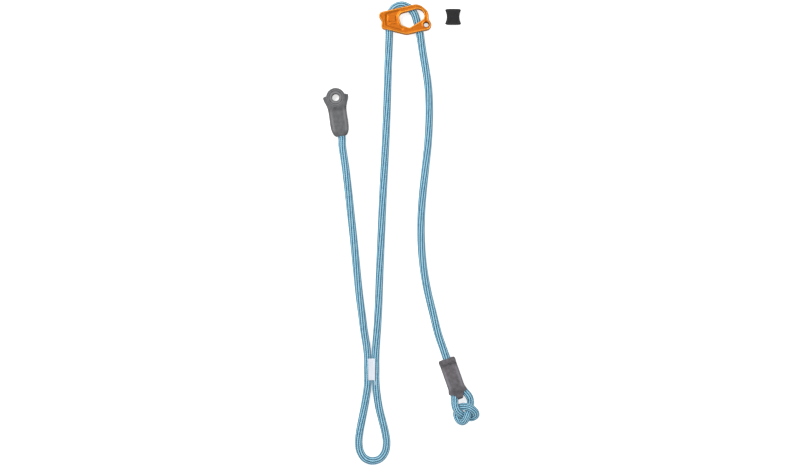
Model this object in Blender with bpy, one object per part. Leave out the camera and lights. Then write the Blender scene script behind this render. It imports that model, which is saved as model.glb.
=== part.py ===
"""Adjustable twin lanyard, laid out flat on a surface.

One length of dynamic rope makes a fixed arm, a sewn tie-in loop and an adjustable arm. The adjustable arm
turns over a saddle between the two forged cheeks of the adjuster, and its tail ends in a sleeve and a knotted
eye. +Z points up from the surface, +Y runs along the adjustable arm towards the adjuster, and the origin lies
on the adjuster's back face, behind the saddle's post.
"""

import math

import bmesh
import bpy
import numpy as np
from mathutils import Matrix, Vector

MM = 0.001

# Clearance left between pieces that touch in the real object
GAP = 0.3 * MM

# Rope
ROPE_D = 9.2 * MM
ROPE_R = ROPE_D / 2
ROPE_SIDES = 12
KNOT_STRAND_R = 3.6 * MM
SEWN_STRAND_R = 4.3 * MM
SEWN_GAP = 0.8 * MM

# Adjuster, thicknesses
CHEEK_T = 3.0 * MM
CHEEK_EDGE = 1.0 * MM
CHEEK_INNER_EDGE = 0.3 * MM
WINDOW_EDGE = 0.7 * MM
CHEEK_RECESS = 0.5 * MM
INNER_SPACE = ROPE_D + 2 * GAP
FRONT_LOW = CHEEK_T + INNER_SPACE
ADJUSTER_T = FRONT_LOW + CHEEK_T
BIGHT_Z = CHEEK_T + INNER_SPACE / 2

# Adjuster, outlines: circles (x, y, radius) that a line runs round anticlockwise; a negative radius is hollow
CHEEK_CIRCLES = [
    (13.0 * MM, -5.7 * MM, 11.0 * MM),
    (36.1 * MM, -5.5 * MM, 6.15 * MM),
    (42.1 * MM, 2.0 * MM, -3.0 * MM),
    (29.2 * MM, 5.6 * MM, 9.9 * MM),
    (23.5 * MM, 6.2 * MM, 13.2 * MM),
    (-14.6 * MM, 6.6 * MM, 5.0 * MM),
    (-19.2 * MM, -1.4 * MM, -3.2 * MM),
    (-12.6 * MM, -6.3 * MM, 4.05 * MM),
]
WINDOW_CIRCLES = [
    (10.6 * MM, -1.6 * MM, 5.3 * MM),
    (15.6 * MM, -5.6 * MM, 3.2 * MM),
    (26.7 * MM, 6.0 * MM, 7.9 * MM),
    (9.0 * MM, 3.9 * MM, 5.4 * MM),
]
RECESS_CIRCLES = [
    (-9.4 * MM, -4.6 * MM, 2.2 * MM),
    (7.0 * MM, -10.2 * MM, 1.1 * MM),
    (10.6 * MM, -1.6 * MM, -7.5 * MM),
    (9.0 * MM, 3.9 * MM, -7.6 * MM),
    (3.2 * MM, 10.6 * MM, 1.1 * MM),
    (-9.6 * MM, 6.2 * MM, 2.2 * MM),
]

# Adjuster, the turn of the rope and what it turns over
TURN_CENTRE = (6.4 * MM, 4.6 * MM)
TURN_R = 13.4 * MM
SADDLE_CIRCLES = [
    (1.2 * MM, -3.6 * MM, 4.3 * MM),
    (9.0 * MM, 3.9 * MM, -5.8 * MM),
    (10.8 * MM, 11.0 * MM, 0.85 * MM),
    (*TURN_CENTRE, TURN_R - ROPE_R - 0.4 * MM),
]
SADDLE_EDGE = 0.8 * MM
SADDLE_RIVETS = {"saddle_rivet_low": (0.7 * MM, -4.2 * MM), "saddle_rivet_high": (0.8 * MM, 7.2 * MM)}
STUDS = {"nose_post": (-14.9 * MM, 6.4 * MM, 2.4 * MM), "lower_post": (14.0 * MM, -12.6 * MM, 3.0 * MM)}
SHANK_R = 1.5 * MM
HEAD_R = 2.1 * MM
HEAD_T = 1.0 * MM
HEAD_DEPTH = 0.1 * MM
BLIND_DEPTH = 1.8 * MM
AUXILIARY_HOLE = (36.1 * MM, -5.5 * MM)
AUXILIARY_HOLE_R = 3.0 * MM
AUXILIARY_BUSH_R = 4.7 * MM
COUNTERBORE = 0.6 * MM
HOLE_EDGE = 0.5 * MM

# Fixed arm's sleeve, in its own frame: origin at the eye, +Y up the sleeve
FIXED_EYE = (-72.2 * MM, -92.3 * MM)
FIXED_SLEEVE_TILT = math.radians(8.4)
EYE_HOLE_R = 4.6 * MM
EYE_BOSS_R = 12.2 * MM
EYE_RING_R = 7.2 * MM
EYE_RING_H = 0.2 * MM
EYE_STRAND_R = 8.5 * MM
EYE_STRAND_HALF_W = 2.6 * MM
FIXED_MOUTH_Y = -46.5 * MM
MOUTH_X = 0.4 * MM
FIXED_FIN_Y = 6.3 * MM
FIXED_FIN_DROP = 4.3 * MM
FIXED_SLEEVE_WIDTHS = [
    (-46.5 * MM, 5.8 * MM, 5.5 * MM),
    (-45.2 * MM, 7.0 * MM, 5.9 * MM),
    (-42.0 * MM, 8.9 * MM, 6.1 * MM),
    (-37.0 * MM, 10.2 * MM, 6.1 * MM),
    (-30.0 * MM, 10.6 * MM, 6.1 * MM),
    (-20.0 * MM, 10.7 * MM, 6.0 * MM),
    (-12.5 * MM, 11.3 * MM, 5.7 * MM),
    (-5.0 * MM, 13.3 * MM, 5.0 * MM),
    (0.0, 14.6 * MM, 4.0 * MM),
    (FIXED_FIN_Y, 15.2 * MM, 3.2 * MM),
]
FIXED_PANEL_CIRCLES = [
    (-4.6 * MM, -38.0 * MM, 2.0 * MM),
    (4.6 * MM, -38.0 * MM, 2.0 * MM),
    (5.2 * MM, -17.5 * MM, 1.6 * MM),
    (0.0, -11.5 * MM, 1.6 * MM),
    (-5.2 * MM, -17.5 * MM, 1.6 * MM),
]

# Sleeves, common values
SLEEVE_MID_Z = 6.3 * MM
SLEEVE_HALF_T = 6.1 * MM
SLEEVE_EDGE = 1.6 * MM
PANEL_DEPTH = 0.5 * MM
STRAND_X = SEWN_STRAND_R + SEWN_GAP / 2

# Tail sleeve, in its own frame: origin at the middle of its top edge, +Y up the sleeve
TAIL_SLEEVE_TOP = (60.7 * MM, -404.9 * MM)
TAIL_SLEEVE_TILT = math.radians(19.5)
TAIL_SLEEVE_CIRCLES = [
    (-8.0 * MM, -2.0 * MM, 2.0 * MM),
    (-13.0 * MM, -35.6 * MM, -3.0 * MM),
    (-9.5 * MM, -41.0 * MM, 1.8 * MM),
    (-7.6 * MM, -45.0 * MM, -1.4 * MM),
    (-2.0 * MM, -48.8 * MM, 2.0 * MM),
    (6.6 * MM, -44.8 * MM, -1.4 * MM),
    (9.5 * MM, -41.0 * MM, 1.8 * MM),
    (13.0 * MM, -35.6 * MM, -3.0 * MM),
    (8.0 * MM, -2.0 * MM, 2.0 * MM),
]
TAIL_HALF_W = TAIL_SLEEVE_CIRCLES[-1][0] + TAIL_SLEEVE_CIRCLES[-1][2]
COLLAR_H = 5.4 * MM
COLLAR_STEP = 0.2 * MM
TAIL_PANEL_CIRCLES = [
    (-5.4 * MM, -38.0 * MM, 1.2 * MM),
    (-2.0 * MM, -45.4 * MM, 1.2 * MM),
    (5.4 * MM, -38.0 * MM, 1.2 * MM),
    (5.4 * MM, -8.0 * MM, 1.2 * MM),
    (-5.4 * MM, -8.0 * MM, 1.2 * MM),
]

# Knot in the tail's eye: the strand's middle from leg to leg, in the tail sleeve's frame
KNOT_ROUTE = [
    (-5.0 * MM, -38.0 * MM, 6.3 * MM),
    (-6.0 * MM, -44.5 * MM, 6.8 * MM),
    (-8.0 * MM, -50.5 * MM, 9.5 * MM),
    (-9.5 * MM, -56.5 * MM, 13.0 * MM),
    (-9.0 * MM, -63.0 * MM, 13.0 * MM),
    (-6.0 * MM, -68.0 * MM, 10.0 * MM),
    (-2.5 * MM, -72.5 * MM, 5.2 * MM),
    (2.5 * MM, -76.0 * MM, 4.5 * MM),
    (8.5 * MM, -77.0 * MM, 6.5 * MM),
    (11.5 * MM, -73.5 * MM, 11.0 * MM),
    (10.0 * MM, -68.0 * MM, 14.5 * MM),
    (5.5 * MM, -63.0 * MM, 14.5 * MM),
    (0.5 * MM, -60.5 * MM, 11.0 * MM),
    (-4.5 * MM, -60.0 * MM, 6.5 * MM),
    (-9.5 * MM, -63.5 * MM, 4.0 * MM),
    (-12.0 * MM, -70.0 * MM, 4.0 * MM),
    (-10.0 * MM, -76.0 * MM, 5.5 * MM),
    (-6.0 * MM, -78.0 * MM, 10.5 * MM),
    (-2.0 * MM, -75.0 * MM, 14.0 * MM),
    (2.0 * MM, -70.5 * MM, 12.0 * MM),
    (4.5 * MM, -66.5 * MM, 7.0 * MM),
    (8.0 * MM, -62.0 * MM, 4.5 * MM),
    (10.5 * MM, -56.5 * MM, 4.0 * MM),
    (10.0 * MM, -50.0 * MM, 5.5 * MM),
    (7.5 * MM, -44.0 * MM, 6.3 * MM),
    (5.0 * MM, -38.0 * MM, 6.3 * MM),
]

# Stitching
BARTACK_LENGTH = 26.0 * MM
BARTACK_Y = -417.6 * MM
BARTACK_HALF_W = 4.2 * MM
VALLEY_HALF_W = 2.2 * MM
HIDDEN_STITCHING_LENGTH = 14.0 * MM
HIDDEN_STITCHING_INSET = 2.1 * MM
THREAD_T = 0.45 * MM

# Keeper, in its own frame: origin at its middle, on the surface
KEEPER_PLACE = (68.4 * MM, 4.6 * MM)
KEEPER_T = 7.4 * MM
KEEPER_EDGE = 1.2 * MM
KEEPER_CIRCLES = [
    (-8.3 * MM, -8.3 * MM, 1.2 * MM),
    (0.0, 38.0 * MM, 47.8 * MM),
    (8.3 * MM, -8.3 * MM, 1.2 * MM),
    (24.1 * MM, 0.0, -16.5 * MM),
    (8.3 * MM, 8.3 * MM, 1.2 * MM),
    (0.0, -38.0 * MM, 47.8 * MM),
    (-8.3 * MM, 8.3 * MM, 1.2 * MM),
    (-24.1 * MM, 0.0, -16.5 * MM),
]
KEEPER_PANEL_CIRCLES = [
    (-5.4 * MM, -6.2 * MM, 0.9 * MM),
    (5.4 * MM, -6.2 * MM, 0.9 * MM),
    (5.4 * MM, 6.2 * MM, 0.9 * MM),
    (-5.4 * MM, 6.2 * MM, 0.9 * MM),
]
KEEPER_PANEL_DEPTH = 0.35 * MM
KEEPER_SLOT_HALF_W = 5.2 * MM
KEEPER_SLOT_T = 4.8 * MM
KEEPER_BOTTOM_WALL = 1.2 * MM

# Joint axes
ARM_SWING_AXIS = (-38.0 * MM, -374.0 * MM)

# The rope's route along its middle, in millimetres (x, y, height), from the fixed sleeve to the tail sleeve
FIXED_ARM_ROUTE = [
    (-64.6, -148.0, 5.4),
    (-62.7, -162.0, 4.6),
    (-60.5, -176.4, 4.6),
    (-58.7, -190.8, 4.6),
    (-57.0, -205.2, 4.6),
    (-53.9, -234.0, 4.6),
    (-50.7, -262.8, 4.6),
    (-47.8, -291.6, 4.6),
    (-44.9, -320.4, 4.6),
]
ARM_BEND_ROUTE = [
    (-43.7, -331.0, 4.6),
    (-40.9, -352.0, 4.6),
    (-38.0, -374.0, 4.6),
    (-35.2, -391.0, 4.6),
]
TIE_IN_ROUTE = [
    (-33.9, -404.0, 4.6),
    (-33.9, -418.0, 4.6),
    (-33.9, -431.0, 4.6),
    (-34.2, -438.0, 4.6),
    (-35.8, -450.0, 4.6),
    (-38.2, -464.4, 4.6),
    (-41.0, -478.8, 4.6),
    (-43.6, -493.2, 4.6),
    (-44.7, -506.0, 4.6),
    (-42.6, -517.2, 4.6),
    (-36.8, -524.8, 4.6),
    (-28.0, -527.4, 4.6),
    (-19.2, -524.8, 4.6),
    (-13.3, -517.2, 4.6),
    (-11.3, -506.0, 4.6),
    (-13.0, -493.2, 4.6),
    (-16.6, -478.8, 4.6),
    (-20.2, -464.4, 4.6),
    (-22.6, -450.0, 4.6),
    (-24.0, -438.0, 4.6),
    (-24.4, -431.0, 4.6),
    (-24.4, -418.0, 4.6),
    (-24.5, -404.0, 4.6),
]
MAIN_ARM_ROUTE = [
    (-23.9, -390.0, 4.6),
    (-22.1, -363.6, 4.6),
    (-20.7, -334.8, 4.6),
    (-19.8, -306.0, 4.6),
    (-18.6, -277.2, 4.6),
    (-17.4, -248.4, 4.6),
    (-16.2, -219.6, 4.6),
    (-14.8, -190.8, 4.6),
    (-13.3, -162.0, 4.6),
    (-12.0, -133.2, 4.6),
    (-10.9, -104.4, 4.6),
    (-10.1, -75.6, 4.6),
    (-9.2, -46.8, 4.6),
    (-8.6, -32.0, 5.7),
]
BIGHT_ROUTE = [
    (-8.2, -17.5, 7.7),
    (-8.2, -10.0, 7.9),
    (-8.2, -3.0, 7.9),
    (-7.3, 4.6, 7.9),
    (-4.7, 12.0, 7.9),
    (0.7, 16.8, 7.9),
    (7.0, 18.3, 7.9),
    (13.4, 16.4, 7.9),
    (18.8, 12.4, 7.9),
    (22.2, 7.4, 7.9),
    (24.2, 1.6, 7.9),
    (25.8, -4.6, 7.9),
    (27.4, -10.6, 7.9),
]
TAIL_ROUTE = [
    (28.8, -17.0, 7.6),
    (30.7, -30.0, 5.7),
    (33.2, -45.0, 4.6),
    (36.0, -61.2, 4.6),
    (38.4, -78.0, 4.6),
    (39.7, -97.2, 4.6),
    (39.7, -118.8, 4.6),
    (38.2, -147.6, 4.6),
    (35.2, -176.4, 4.6),
    (32.2, -205.2, 4.6),
    (30.2, -234.0, 4.6),
    (30.1, -262.8, 4.6),
    (32.3, -291.6, 4.6),
    (37.0, -320.4, 4.6),
    (43.9, -349.2, 4.6),
    (51.3, -378.0, 4.8),
    (56.3, -392.4, 5.6),
]

# Spacings of the points along each stretch of rope
LONG_SPACING = 20.0 * MM
BEND_SPACING = 9.0 * MM
TURN_SPACING = 4.0 * MM
END_PIECE = 1.0 * MM
ARC_STEP = math.radians(18)

# Colours as red, green, blue, then roughness and metallic
ROPE_FINISH = ((0.23, 0.50, 0.75), 0.85, 0.0)
THREAD_FINISH = ((0.87, 0.87, 0.90), 0.7, 0.0)
ORANGE_FINISH = ((0.83, 0.22, 0.02), 0.35, 0.9)
SPACER_FINISH = ((0.60, 0.60, 0.62), 0.3, 1.0)
GREY_FINISH = ((0.14, 0.14, 0.15), 0.7, 0.0)
BLACK_FINISH = ((0.03, 0.03, 0.033), 0.6, 0.0)


def clear_scene():
    """Empties the file that the script runs in."""
    for obj in list(bpy.data.objects):
        bpy.data.objects.remove(obj, do_unlink=True)


def finish_material(name, finish):
    """A plain material of the piece's own colour."""
    colour, roughness, metallic = finish
    material = bpy.data.materials.new(name)
    material.use_nodes = True
    shader = material.node_tree.nodes["Principled BSDF"]
    shader.inputs["Base Color"].default_value = (*colour, 1.0)
    shader.inputs["Roughness"].default_value = roughness
    shader.inputs["Metallic"].default_value = metallic
    return material


def add_piece(name, data, finish=None, parent=None):
    """Puts a mesh or curve into the scene as a piece, or as a cutter when it has no finish."""
    obj = bpy.data.objects.new(name, data)
    bpy.context.scene.collection.objects.link(obj)
    obj.parent = parent
    if finish is None:
        obj.hide_render = True
        obj.display_type = "WIRE"
    else:
        data.materials.append(finish_material(name, finish))
    return obj


def add_frame(name, place, turn=0.0, parent=None):
    """An empty that carries pieces: at the place (x, y), turned about +Z."""
    frame = bpy.data.objects.new(name, None)
    bpy.context.scene.collection.objects.link(frame)
    frame.parent = parent
    frame.matrix_basis = Matrix.Translation((*place, 0.0)) @ Matrix.Rotation(turn, 4, "Z")
    return frame


def keep_place(obj, parent):
    """Parents a piece that is already in the part's own frame to an empty, without moving it."""
    bpy.context.view_layer.update()
    obj.parent = parent
    obj.matrix_parent_inverse = parent.matrix_world.inverted()


def mesh_from(name, points, faces):
    """A mesh with its faces turned outwards."""
    bm = bmesh.new()
    verts = [bm.verts.new(p) for p in points]
    for face in faces:
        bm.faces.new([verts[i] for i in face])
    bmesh.ops.recalc_face_normals(bm, faces=bm.faces[:])
    mesh = bpy.data.meshes.new(name)
    bm.to_mesh(mesh)
    bm.free()
    return mesh


def shade_round(mesh):
    """Smooth shading that keeps edges of 40 degrees or more sharp."""
    mesh.shade_smooth()
    mesh.set_sharp_from_angle(angle=math.radians(40))


def stacked_rings(name, rings, folded_ends=False):
    """A closed body through rings of points, each with as many points as the next.

    With folded_ends, each end is closed by strips between its upper and lower halves, so it needn't be flat.
    """
    count = len(rings[0])
    points = [p for ring in rings for p in ring]
    faces = []
    for first in (0, len(points) - count):
        if not folded_ends:
            faces.append(tuple(range(first, first + count)))
            continue
        for i in range(count // 2):
            corners = dict.fromkeys((i, i + 1, count - i - 1, (count - i) % count))
            faces.append(tuple(first + corner for corner in corners))
    for level in range(len(rings) - 1):
        low = level * count
        for i in range(count):
            j = (i + 1) % count
            faces.append((low + i, low + j, low + count + j, low + count + i))
    mesh = mesh_from(name, points, faces)
    shade_round(mesh)
    return mesh


def belt_outline(circles, grow=0.0):
    """Points of the line that runs anticlockwise round circles, like a belt, moved outwards by grow.

    The belt's straight runs are the circles' common tangents. They keep their directions when every radius
    grows by the same amount, so outlines of one set of circles always have matching points.
    """
    count = len(circles)
    leaves = []
    for i, (x0, y0, r0) in enumerate(circles):
        x1, y1, r1 = circles[(i + 1) % count]
        along = math.atan2(y1 - y0, x1 - x0)
        leaves.append(along - math.acos((r0 - r1) / math.hypot(x1 - x0, y1 - y0)))
    points = []
    for i, (x, y, r) in enumerate(circles):
        start = leaves[i - 1]
        turn = (leaves[i] - start) % math.tau
        if r < 0:
            turn -= math.tau
        steps = max(1, math.ceil(abs(turn) / ARC_STEP - 1e-6))
        for k in range(steps + 1):
            angle = start + turn * k / steps
            points.append((x + (r + grow) * math.cos(angle), y + (r + grow) * math.sin(angle)))
    return points


def rounded_levels(low, high, low_edge, high_edge, steps=2):
    """Heights and insets of a plate whose rims are rounded by quarter circles."""
    levels = []
    for k in range(steps + 1):
        angle = math.pi / 2 * k / steps
        levels.append((low + low_edge * (1 - math.cos(angle)), low_edge * (math.sin(angle) - 1)))
    for k in range(steps + 1):
        angle = math.pi / 2 * k / steps
        levels.append((high - high_edge * (1 - math.sin(angle)), high_edge * (math.cos(angle) - 1)))
    return levels


def flared_levels(low, high, low_edge, high_edge, reach, steps=2):
    """Heights and offsets of a cutter that rounds the rims of the opening it cuts."""
    inner = [(z, -inset) for z, inset in rounded_levels(low, high, low_edge, high_edge, steps)]
    return [(low - reach, low_edge), *inner, (high + reach, high_edge)]


def plate(name, circles, levels):
    """A plate or prism with a belt outline, lofted through (height, offset) levels."""
    rings = [[(x, y, z) for x, y in belt_outline(circles, offset)] for z, offset in levels]
    return stacked_rings(name, rings)


def round_plate(name, centre, radius, levels, sides=28):
    """A round plate or pin about a vertical axis, lofted through (height, offset) levels."""
    angles = [math.tau * i / sides for i in range(sides)]
    rings = [
        [
            (centre[0] + (radius + grow) * math.cos(a), centre[1] + (radius + grow) * math.sin(a), z)
            for a in angles
        ]
        for z, grow in levels
    ]
    return stacked_rings(name, rings)


def cut(piece, name, mesh, parent=None):
    """Takes the shape of a mesh out of a piece."""
    cutter = add_piece(name, mesh, parent=parent)
    modifier = piece.modifiers.new(name, "BOOLEAN")
    modifier.operation = "DIFFERENCE"
    modifier.solver = "EXACT"
    modifier.object = cutter


def join(piece, name, mesh, parent=None):
    """Adds the shape of a mesh to a piece."""
    addition = add_piece(name, mesh, parent=parent)
    modifier = piece.modifiers.new(name, "BOOLEAN")
    modifier.operation = "UNION"
    modifier.solver = "EXACT"
    modifier.object = addition


def smooth_curve(points, fineness=24):
    """Many points of the smooth curve through a route's points, by cubic pieces with shared tangents."""
    p = np.array(points, dtype=float)
    chord = np.linalg.norm(np.diff(p, axis=0), axis=1)
    slope = np.diff(p, axis=0) / chord[:, None]
    share = (chord[1:] / (chord[:-1] + chord[1:]))[:, None]
    tangent = np.vstack([slope[:1], slope[:-1] * share + slope[1:] * (1 - share), slope[-1:]])
    t = np.linspace(0, 1, fineness, endpoint=False)[:, None]
    pieces = []
    for i, length in enumerate(chord):
        rise, back = 3 * t**2 - 2 * t**3, (1 - t) ** 2
        pieces.append(
            p[i] * (1 - rise) + p[i + 1] * rise + length * (tangent[i] * t * back - tangent[i + 1] * t**2 * (1 - t))
        )
    return np.vstack([*pieces, p[-1:]])


def arc_lengths(points):
    """The distance of each point along the line."""
    return np.concatenate([[0], np.cumsum(np.linalg.norm(np.diff(points, axis=0), axis=1))])


def points_between(fine, start, end, spacing):
    """Evenly spaced points of a fine line between two distances along it, with a short piece at each end.

    The short pieces make the ends square to the line, so that a stretch meets the next one face to face.
    """
    along = arc_lengths(fine)
    first, last = start + END_PIECE, end - END_PIECE
    count = max(2, math.ceil((last - first) / spacing) + 1)
    wanted = np.concatenate([[start], np.linspace(first, last, count), [end]])
    return np.stack([np.interp(wanted, along, fine[:, axis]) for axis in range(3)], axis=1)


def rope_tube(name, points, parent):
    """A free stretch of rope: a round tube along a line, in the part's own frame."""
    curve = bpy.data.curves.new(name, "CURVE")
    curve.dimensions = "3D"
    curve.bevel_depth = ROPE_R
    curve.bevel_resolution = ROPE_SIDES // 2 - 2
    curve.use_fill_caps = True
    spline = curve.splines.new("POLY")
    spline.points.add(len(points) - 1)
    for point, place in zip(spline.points, points):
        point.co = (*place, 1.0)
    obj = add_piece(name, curve, ROPE_FINISH)
    if parent is not None:
        keep_place(obj, parent)
    return obj


def swept_strand(name, points, half_widths, half_heights, sides=ROPE_SIDES):
    """A strand with an oval section along a line: half_widths lie level, half_heights stand across them."""
    p = np.array(points, dtype=float)
    tangent = np.gradient(p, axis=0)
    tangent /= np.linalg.norm(tangent, axis=1)[:, None]
    side = np.cross(tangent, (0.0, 0.0, 1.0))
    side /= np.linalg.norm(side, axis=1)[:, None]
    up = np.cross(side, tangent)
    angle = np.linspace(0, math.tau, sides, endpoint=False) + math.pi / sides
    wide = np.broadcast_to(half_widths, len(p))[:, None, None]
    high = np.broadcast_to(half_heights, len(p))[:, None, None]
    rings = (
        p[:, None, :]
        + side[:, None, :] * np.cos(angle)[None, :, None] * wide
        + up[:, None, :] * np.sin(angle)[None, :, None] * high
    )
    return stacked_rings(name, rings.tolist())


def squared_rings(stations, sides=28, power=4.0, drop=0.0):
    """Rings of a moulded body across +Y: rounded rectangles of half width and half thickness per station.

    The last ring's corners lie lower than its middle by drop.
    """
    angle = np.linspace(0, math.tau, sides, endpoint=False)
    across = np.sign(np.cos(angle)) * np.abs(np.cos(angle)) ** (2 / power)
    over = np.sign(np.sin(angle)) * np.abs(np.sin(angle)) ** (2 / power)
    rings = []
    for i, (y, half_width, half_t) in enumerate(stations):
        fall = drop if i == len(stations) - 1 else 0.0
        ring = np.stack(
            [across * half_width, y - fall * np.abs(across), SLEEVE_MID_Z + over * half_t], axis=1
        )
        rings.append(ring.tolist())
    return rings


def least_gap(points, radii, apart):
    """The least gap between stretches of one tube that lie further than apart from each other along it."""
    p, r = np.array(points), np.broadcast_to(radii, len(points))
    along = arc_lengths(p)
    far = np.abs(along[:, None] - along[None, :]) > apart
    between = np.linalg.norm(p[:, None] - p[None], axis=2) - r[:, None] - r[None]
    return float(between[far].min())


def stitching_mesh(name, strand_r, strand_x, half_w, length, face_z=None):
    """Thread that bridges two strands lying side by side along Y and fills the valley between them.

    It is built about the height of the strands' middles, which lie at plus and minus strand_x. Its outer face
    follows the strands, or is level at face_z.
    """
    x = np.linspace(-half_w, half_w, 13)
    reach = strand_r + GAP
    seat = np.sqrt(np.maximum(reach**2 - (np.abs(x) - strand_x) ** 2, (0.45 * strand_r) ** 2))
    top = np.full(len(x), face_z) if face_z is not None else np.full(len(x), reach + THREAD_T)
    section = [*zip(x, seat), *zip(x[::-1], top[::-1])]
    rings = [[(sx, y, sz) for sx, sz in section] for y in (-length / 2, length / 2)]
    return stacked_rings(name, rings)


def adjuster_cheek(name, low, high, low_edge, high_edge, parent):
    """One forged cheek, with its window, its auxiliary hole and the bores of the studs and rivets."""
    cheek = add_piece(
        name, plate(name, CHEEK_CIRCLES, rounded_levels(low, high, low_edge, high_edge, 3)), ORANGE_FINISH
    )
    reach = CHEEK_T
    edges = (min(low_edge, WINDOW_EDGE), min(high_edge, WINDOW_EDGE))
    window = plate(name + "_window", WINDOW_CIRCLES, flared_levels(low, high, *edges, reach))
    cut(cheek, name + "_window", window)
    hole_edges = (min(low_edge, HOLE_EDGE), min(high_edge, HOLE_EDGE))
    hole = round_plate(
        name + "_auxiliary", AUXILIARY_HOLE, AUXILIARY_HOLE_R, flared_levels(low, high, *hole_edges, reach)
    )
    cut(cheek, name + "_auxiliary", hole)
    inner = low if low > 0 else high
    seat = [(inner - COUNTERBORE, 0.0), (inner + COUNTERBORE, 0.0)]
    cut(
        cheek,
        name + "_counterbore",
        round_plate(name + "_counterbore", AUXILIARY_HOLE, AUXILIARY_BUSH_R + GAP, seat),
    )
    keep_place(cheek, parent)
    return cheek


def fastener_places():
    """Every stud and rivet as name: (x, y)."""
    return {**SADDLE_RIVETS, **{name: (x, y) for name, (x, y, _) in STUDS.items()}}


def fastener(name, place, shoulder_r, parent):
    """A stud or rivet: a flush head at the back, a shank, a shoulder between the cheeks and a spigot."""
    head_low = HEAD_DEPTH
    head_high = head_low + HEAD_T
    shoulder_low, shoulder_high = CHEEK_T + GAP, FRONT_LOW - GAP
    spigot_top = FRONT_LOW + BLIND_DEPTH - GAP
    levels = [
        (head_low, HEAD_R - SHANK_R - 0.2 * MM),
        (head_low + 0.2 * MM, HEAD_R - SHANK_R),
        (head_high - 0.3 * MM, HEAD_R - SHANK_R),
        (head_high, 0.0),
    ]
    if shoulder_r > SHANK_R:
        waist = shoulder_r - SHANK_R
        flange = 1.2 * MM
        dip = 0.4 * MM
        levels += [
            (shoulder_low, 0.0),
            (shoulder_low + 0.01 * MM, waist),
            (shoulder_low + flange, waist),
            (shoulder_low + 2 * flange, waist - dip),
            (shoulder_high - 2 * flange, waist - dip),
            (shoulder_high - flange, waist),
            (shoulder_high - 0.01 * MM, waist),
            (shoulder_high, 0.0),
        ]
    levels += [(spigot_top - 0.3 * MM, 0.0), (spigot_top, -0.3 * MM)]
    obj = add_piece(name, round_plate(name, place, SHANK_R, levels, 20), SPACER_FINISH)
    keep_place(obj, parent)


def bore_for_fasteners(back, front, saddle):
    """The bores that the studs and rivets sit in, with a sunk seat for each head."""
    for name, place in fastener_places().items():
        seat = HEAD_DEPTH + HEAD_T + GAP
        head = [(-GAP, HEAD_R + GAP - SHANK_R), (seat, HEAD_R + GAP - SHANK_R)]
        cut(back, name + "_seat", round_plate(name + "_seat", place, SHANK_R, head, 20))
        through = [(-GAP, GAP), (CHEEK_T + GAP, GAP)]
        cut(back, name + "_bore", round_plate(name + "_bore", place, SHANK_R, through, 20))
        blind = [(FRONT_LOW - GAP, GAP), (FRONT_LOW + BLIND_DEPTH, GAP)]
        cut(front, name + "_blind", round_plate(name + "_blind", place, SHANK_R, blind, 20))
        if name in SADDLE_RIVETS:
            long_bore = [(0.0, GAP), (ADJUSTER_T, GAP)]
            cut(saddle, name + "_saddle", round_plate(name + "_saddle", place, SHANK_R, long_bore, 20))


def build_adjuster(parent):
    """Both cheeks and everything that holds them apart."""
    back = adjuster_cheek("back_cheek", 0.0, CHEEK_T, CHEEK_EDGE, CHEEK_INNER_EDGE, parent)
    front = adjuster_cheek("front_cheek", FRONT_LOW, ADJUSTER_T, CHEEK_INNER_EDGE, CHEEK_EDGE, parent)
    recess = [(ADJUSTER_T - CHEEK_RECESS, -0.4 * MM), (ADJUSTER_T + CHEEK_RECESS, 0.4 * MM)]
    cut(front, "front_recess", plate("front_recess", RECESS_CIRCLES, recess))

    saddle_levels = rounded_levels(CHEEK_T + GAP, FRONT_LOW - GAP, SADDLE_EDGE, SADDLE_EDGE)
    saddle = add_piece("rope_saddle", plate("rope_saddle", SADDLE_CIRCLES, saddle_levels), SPACER_FINISH)
    keep_place(saddle, parent)

    low, high = CHEEK_T - COUNTERBORE + GAP, FRONT_LOW + COUNTERBORE - GAP
    bush_levels = rounded_levels(low, high, 0.3 * MM, 0.3 * MM, 1)
    bush = add_piece(
        "auxiliary_bush",
        round_plate("auxiliary_bush", AUXILIARY_HOLE, AUXILIARY_BUSH_R, bush_levels),
        ORANGE_FINISH,
    )
    bore = [(0.0, 0.0), (ADJUSTER_T, 0.0)]
    cut(bush, "bush_bore", round_plate("bush_bore", AUXILIARY_HOLE, AUXILIARY_HOLE_R, bore))
    keep_place(bush, parent)

    bore_for_fasteners(back, front, saddle)
    for name, place in SADDLE_RIVETS.items():
        fastener(name, place, SHANK_R, parent)
    for name, (x, y, shoulder_r) in STUDS.items():
        fastener(name, (x, y), shoulder_r, parent)


def fixed_eye_line():
    """The middle of the strand that is folded round the fixed arm's eye, in the sleeve's frame.

    It comes in at the mouth, runs up one side, round the eye and down the other side to the lapped end.
    """
    x, z = STRAND_X, SLEEVE_MID_Z
    rise = [
        (MOUTH_X, FIXED_MOUTH_Y + GAP, z),
        (MOUTH_X, FIXED_MOUTH_Y + 2 * MM, z),
        (1.4 * MM, -41.5 * MM, z),
        (3.5 * MM, -37.0 * MM, z),
    ]
    leg = [(x, -32.0 * MM, z), (x, -25.0 * MM, z), (x, -17.0 * MM, z), (6.2 * MM, -9.5 * MM, z)]
    angles = [math.radians(a) for a in range(-22, 203, 32)]
    turn = [(EYE_STRAND_R * math.cos(a), EYE_STRAND_R * math.sin(a), z) for a in angles]
    down = [(-px, py, pz) for px, py, pz in leg[::-1][:3]] + [(-x, -30.0 * MM, z)]
    return smooth_curve(rise + leg + turn + down, 3)


def strand_widths(line):
    """Half widths of the folded strand: drawn in where it rounds the eye."""
    distance = np.linalg.norm(line[:, :2], axis=1)
    share = np.clip((distance - EYE_STRAND_R) / (17.0 * MM - EYE_STRAND_R), 0, 1)
    return EYE_STRAND_HALF_W + (SEWN_STRAND_R - EYE_STRAND_HALF_W) * share


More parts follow.
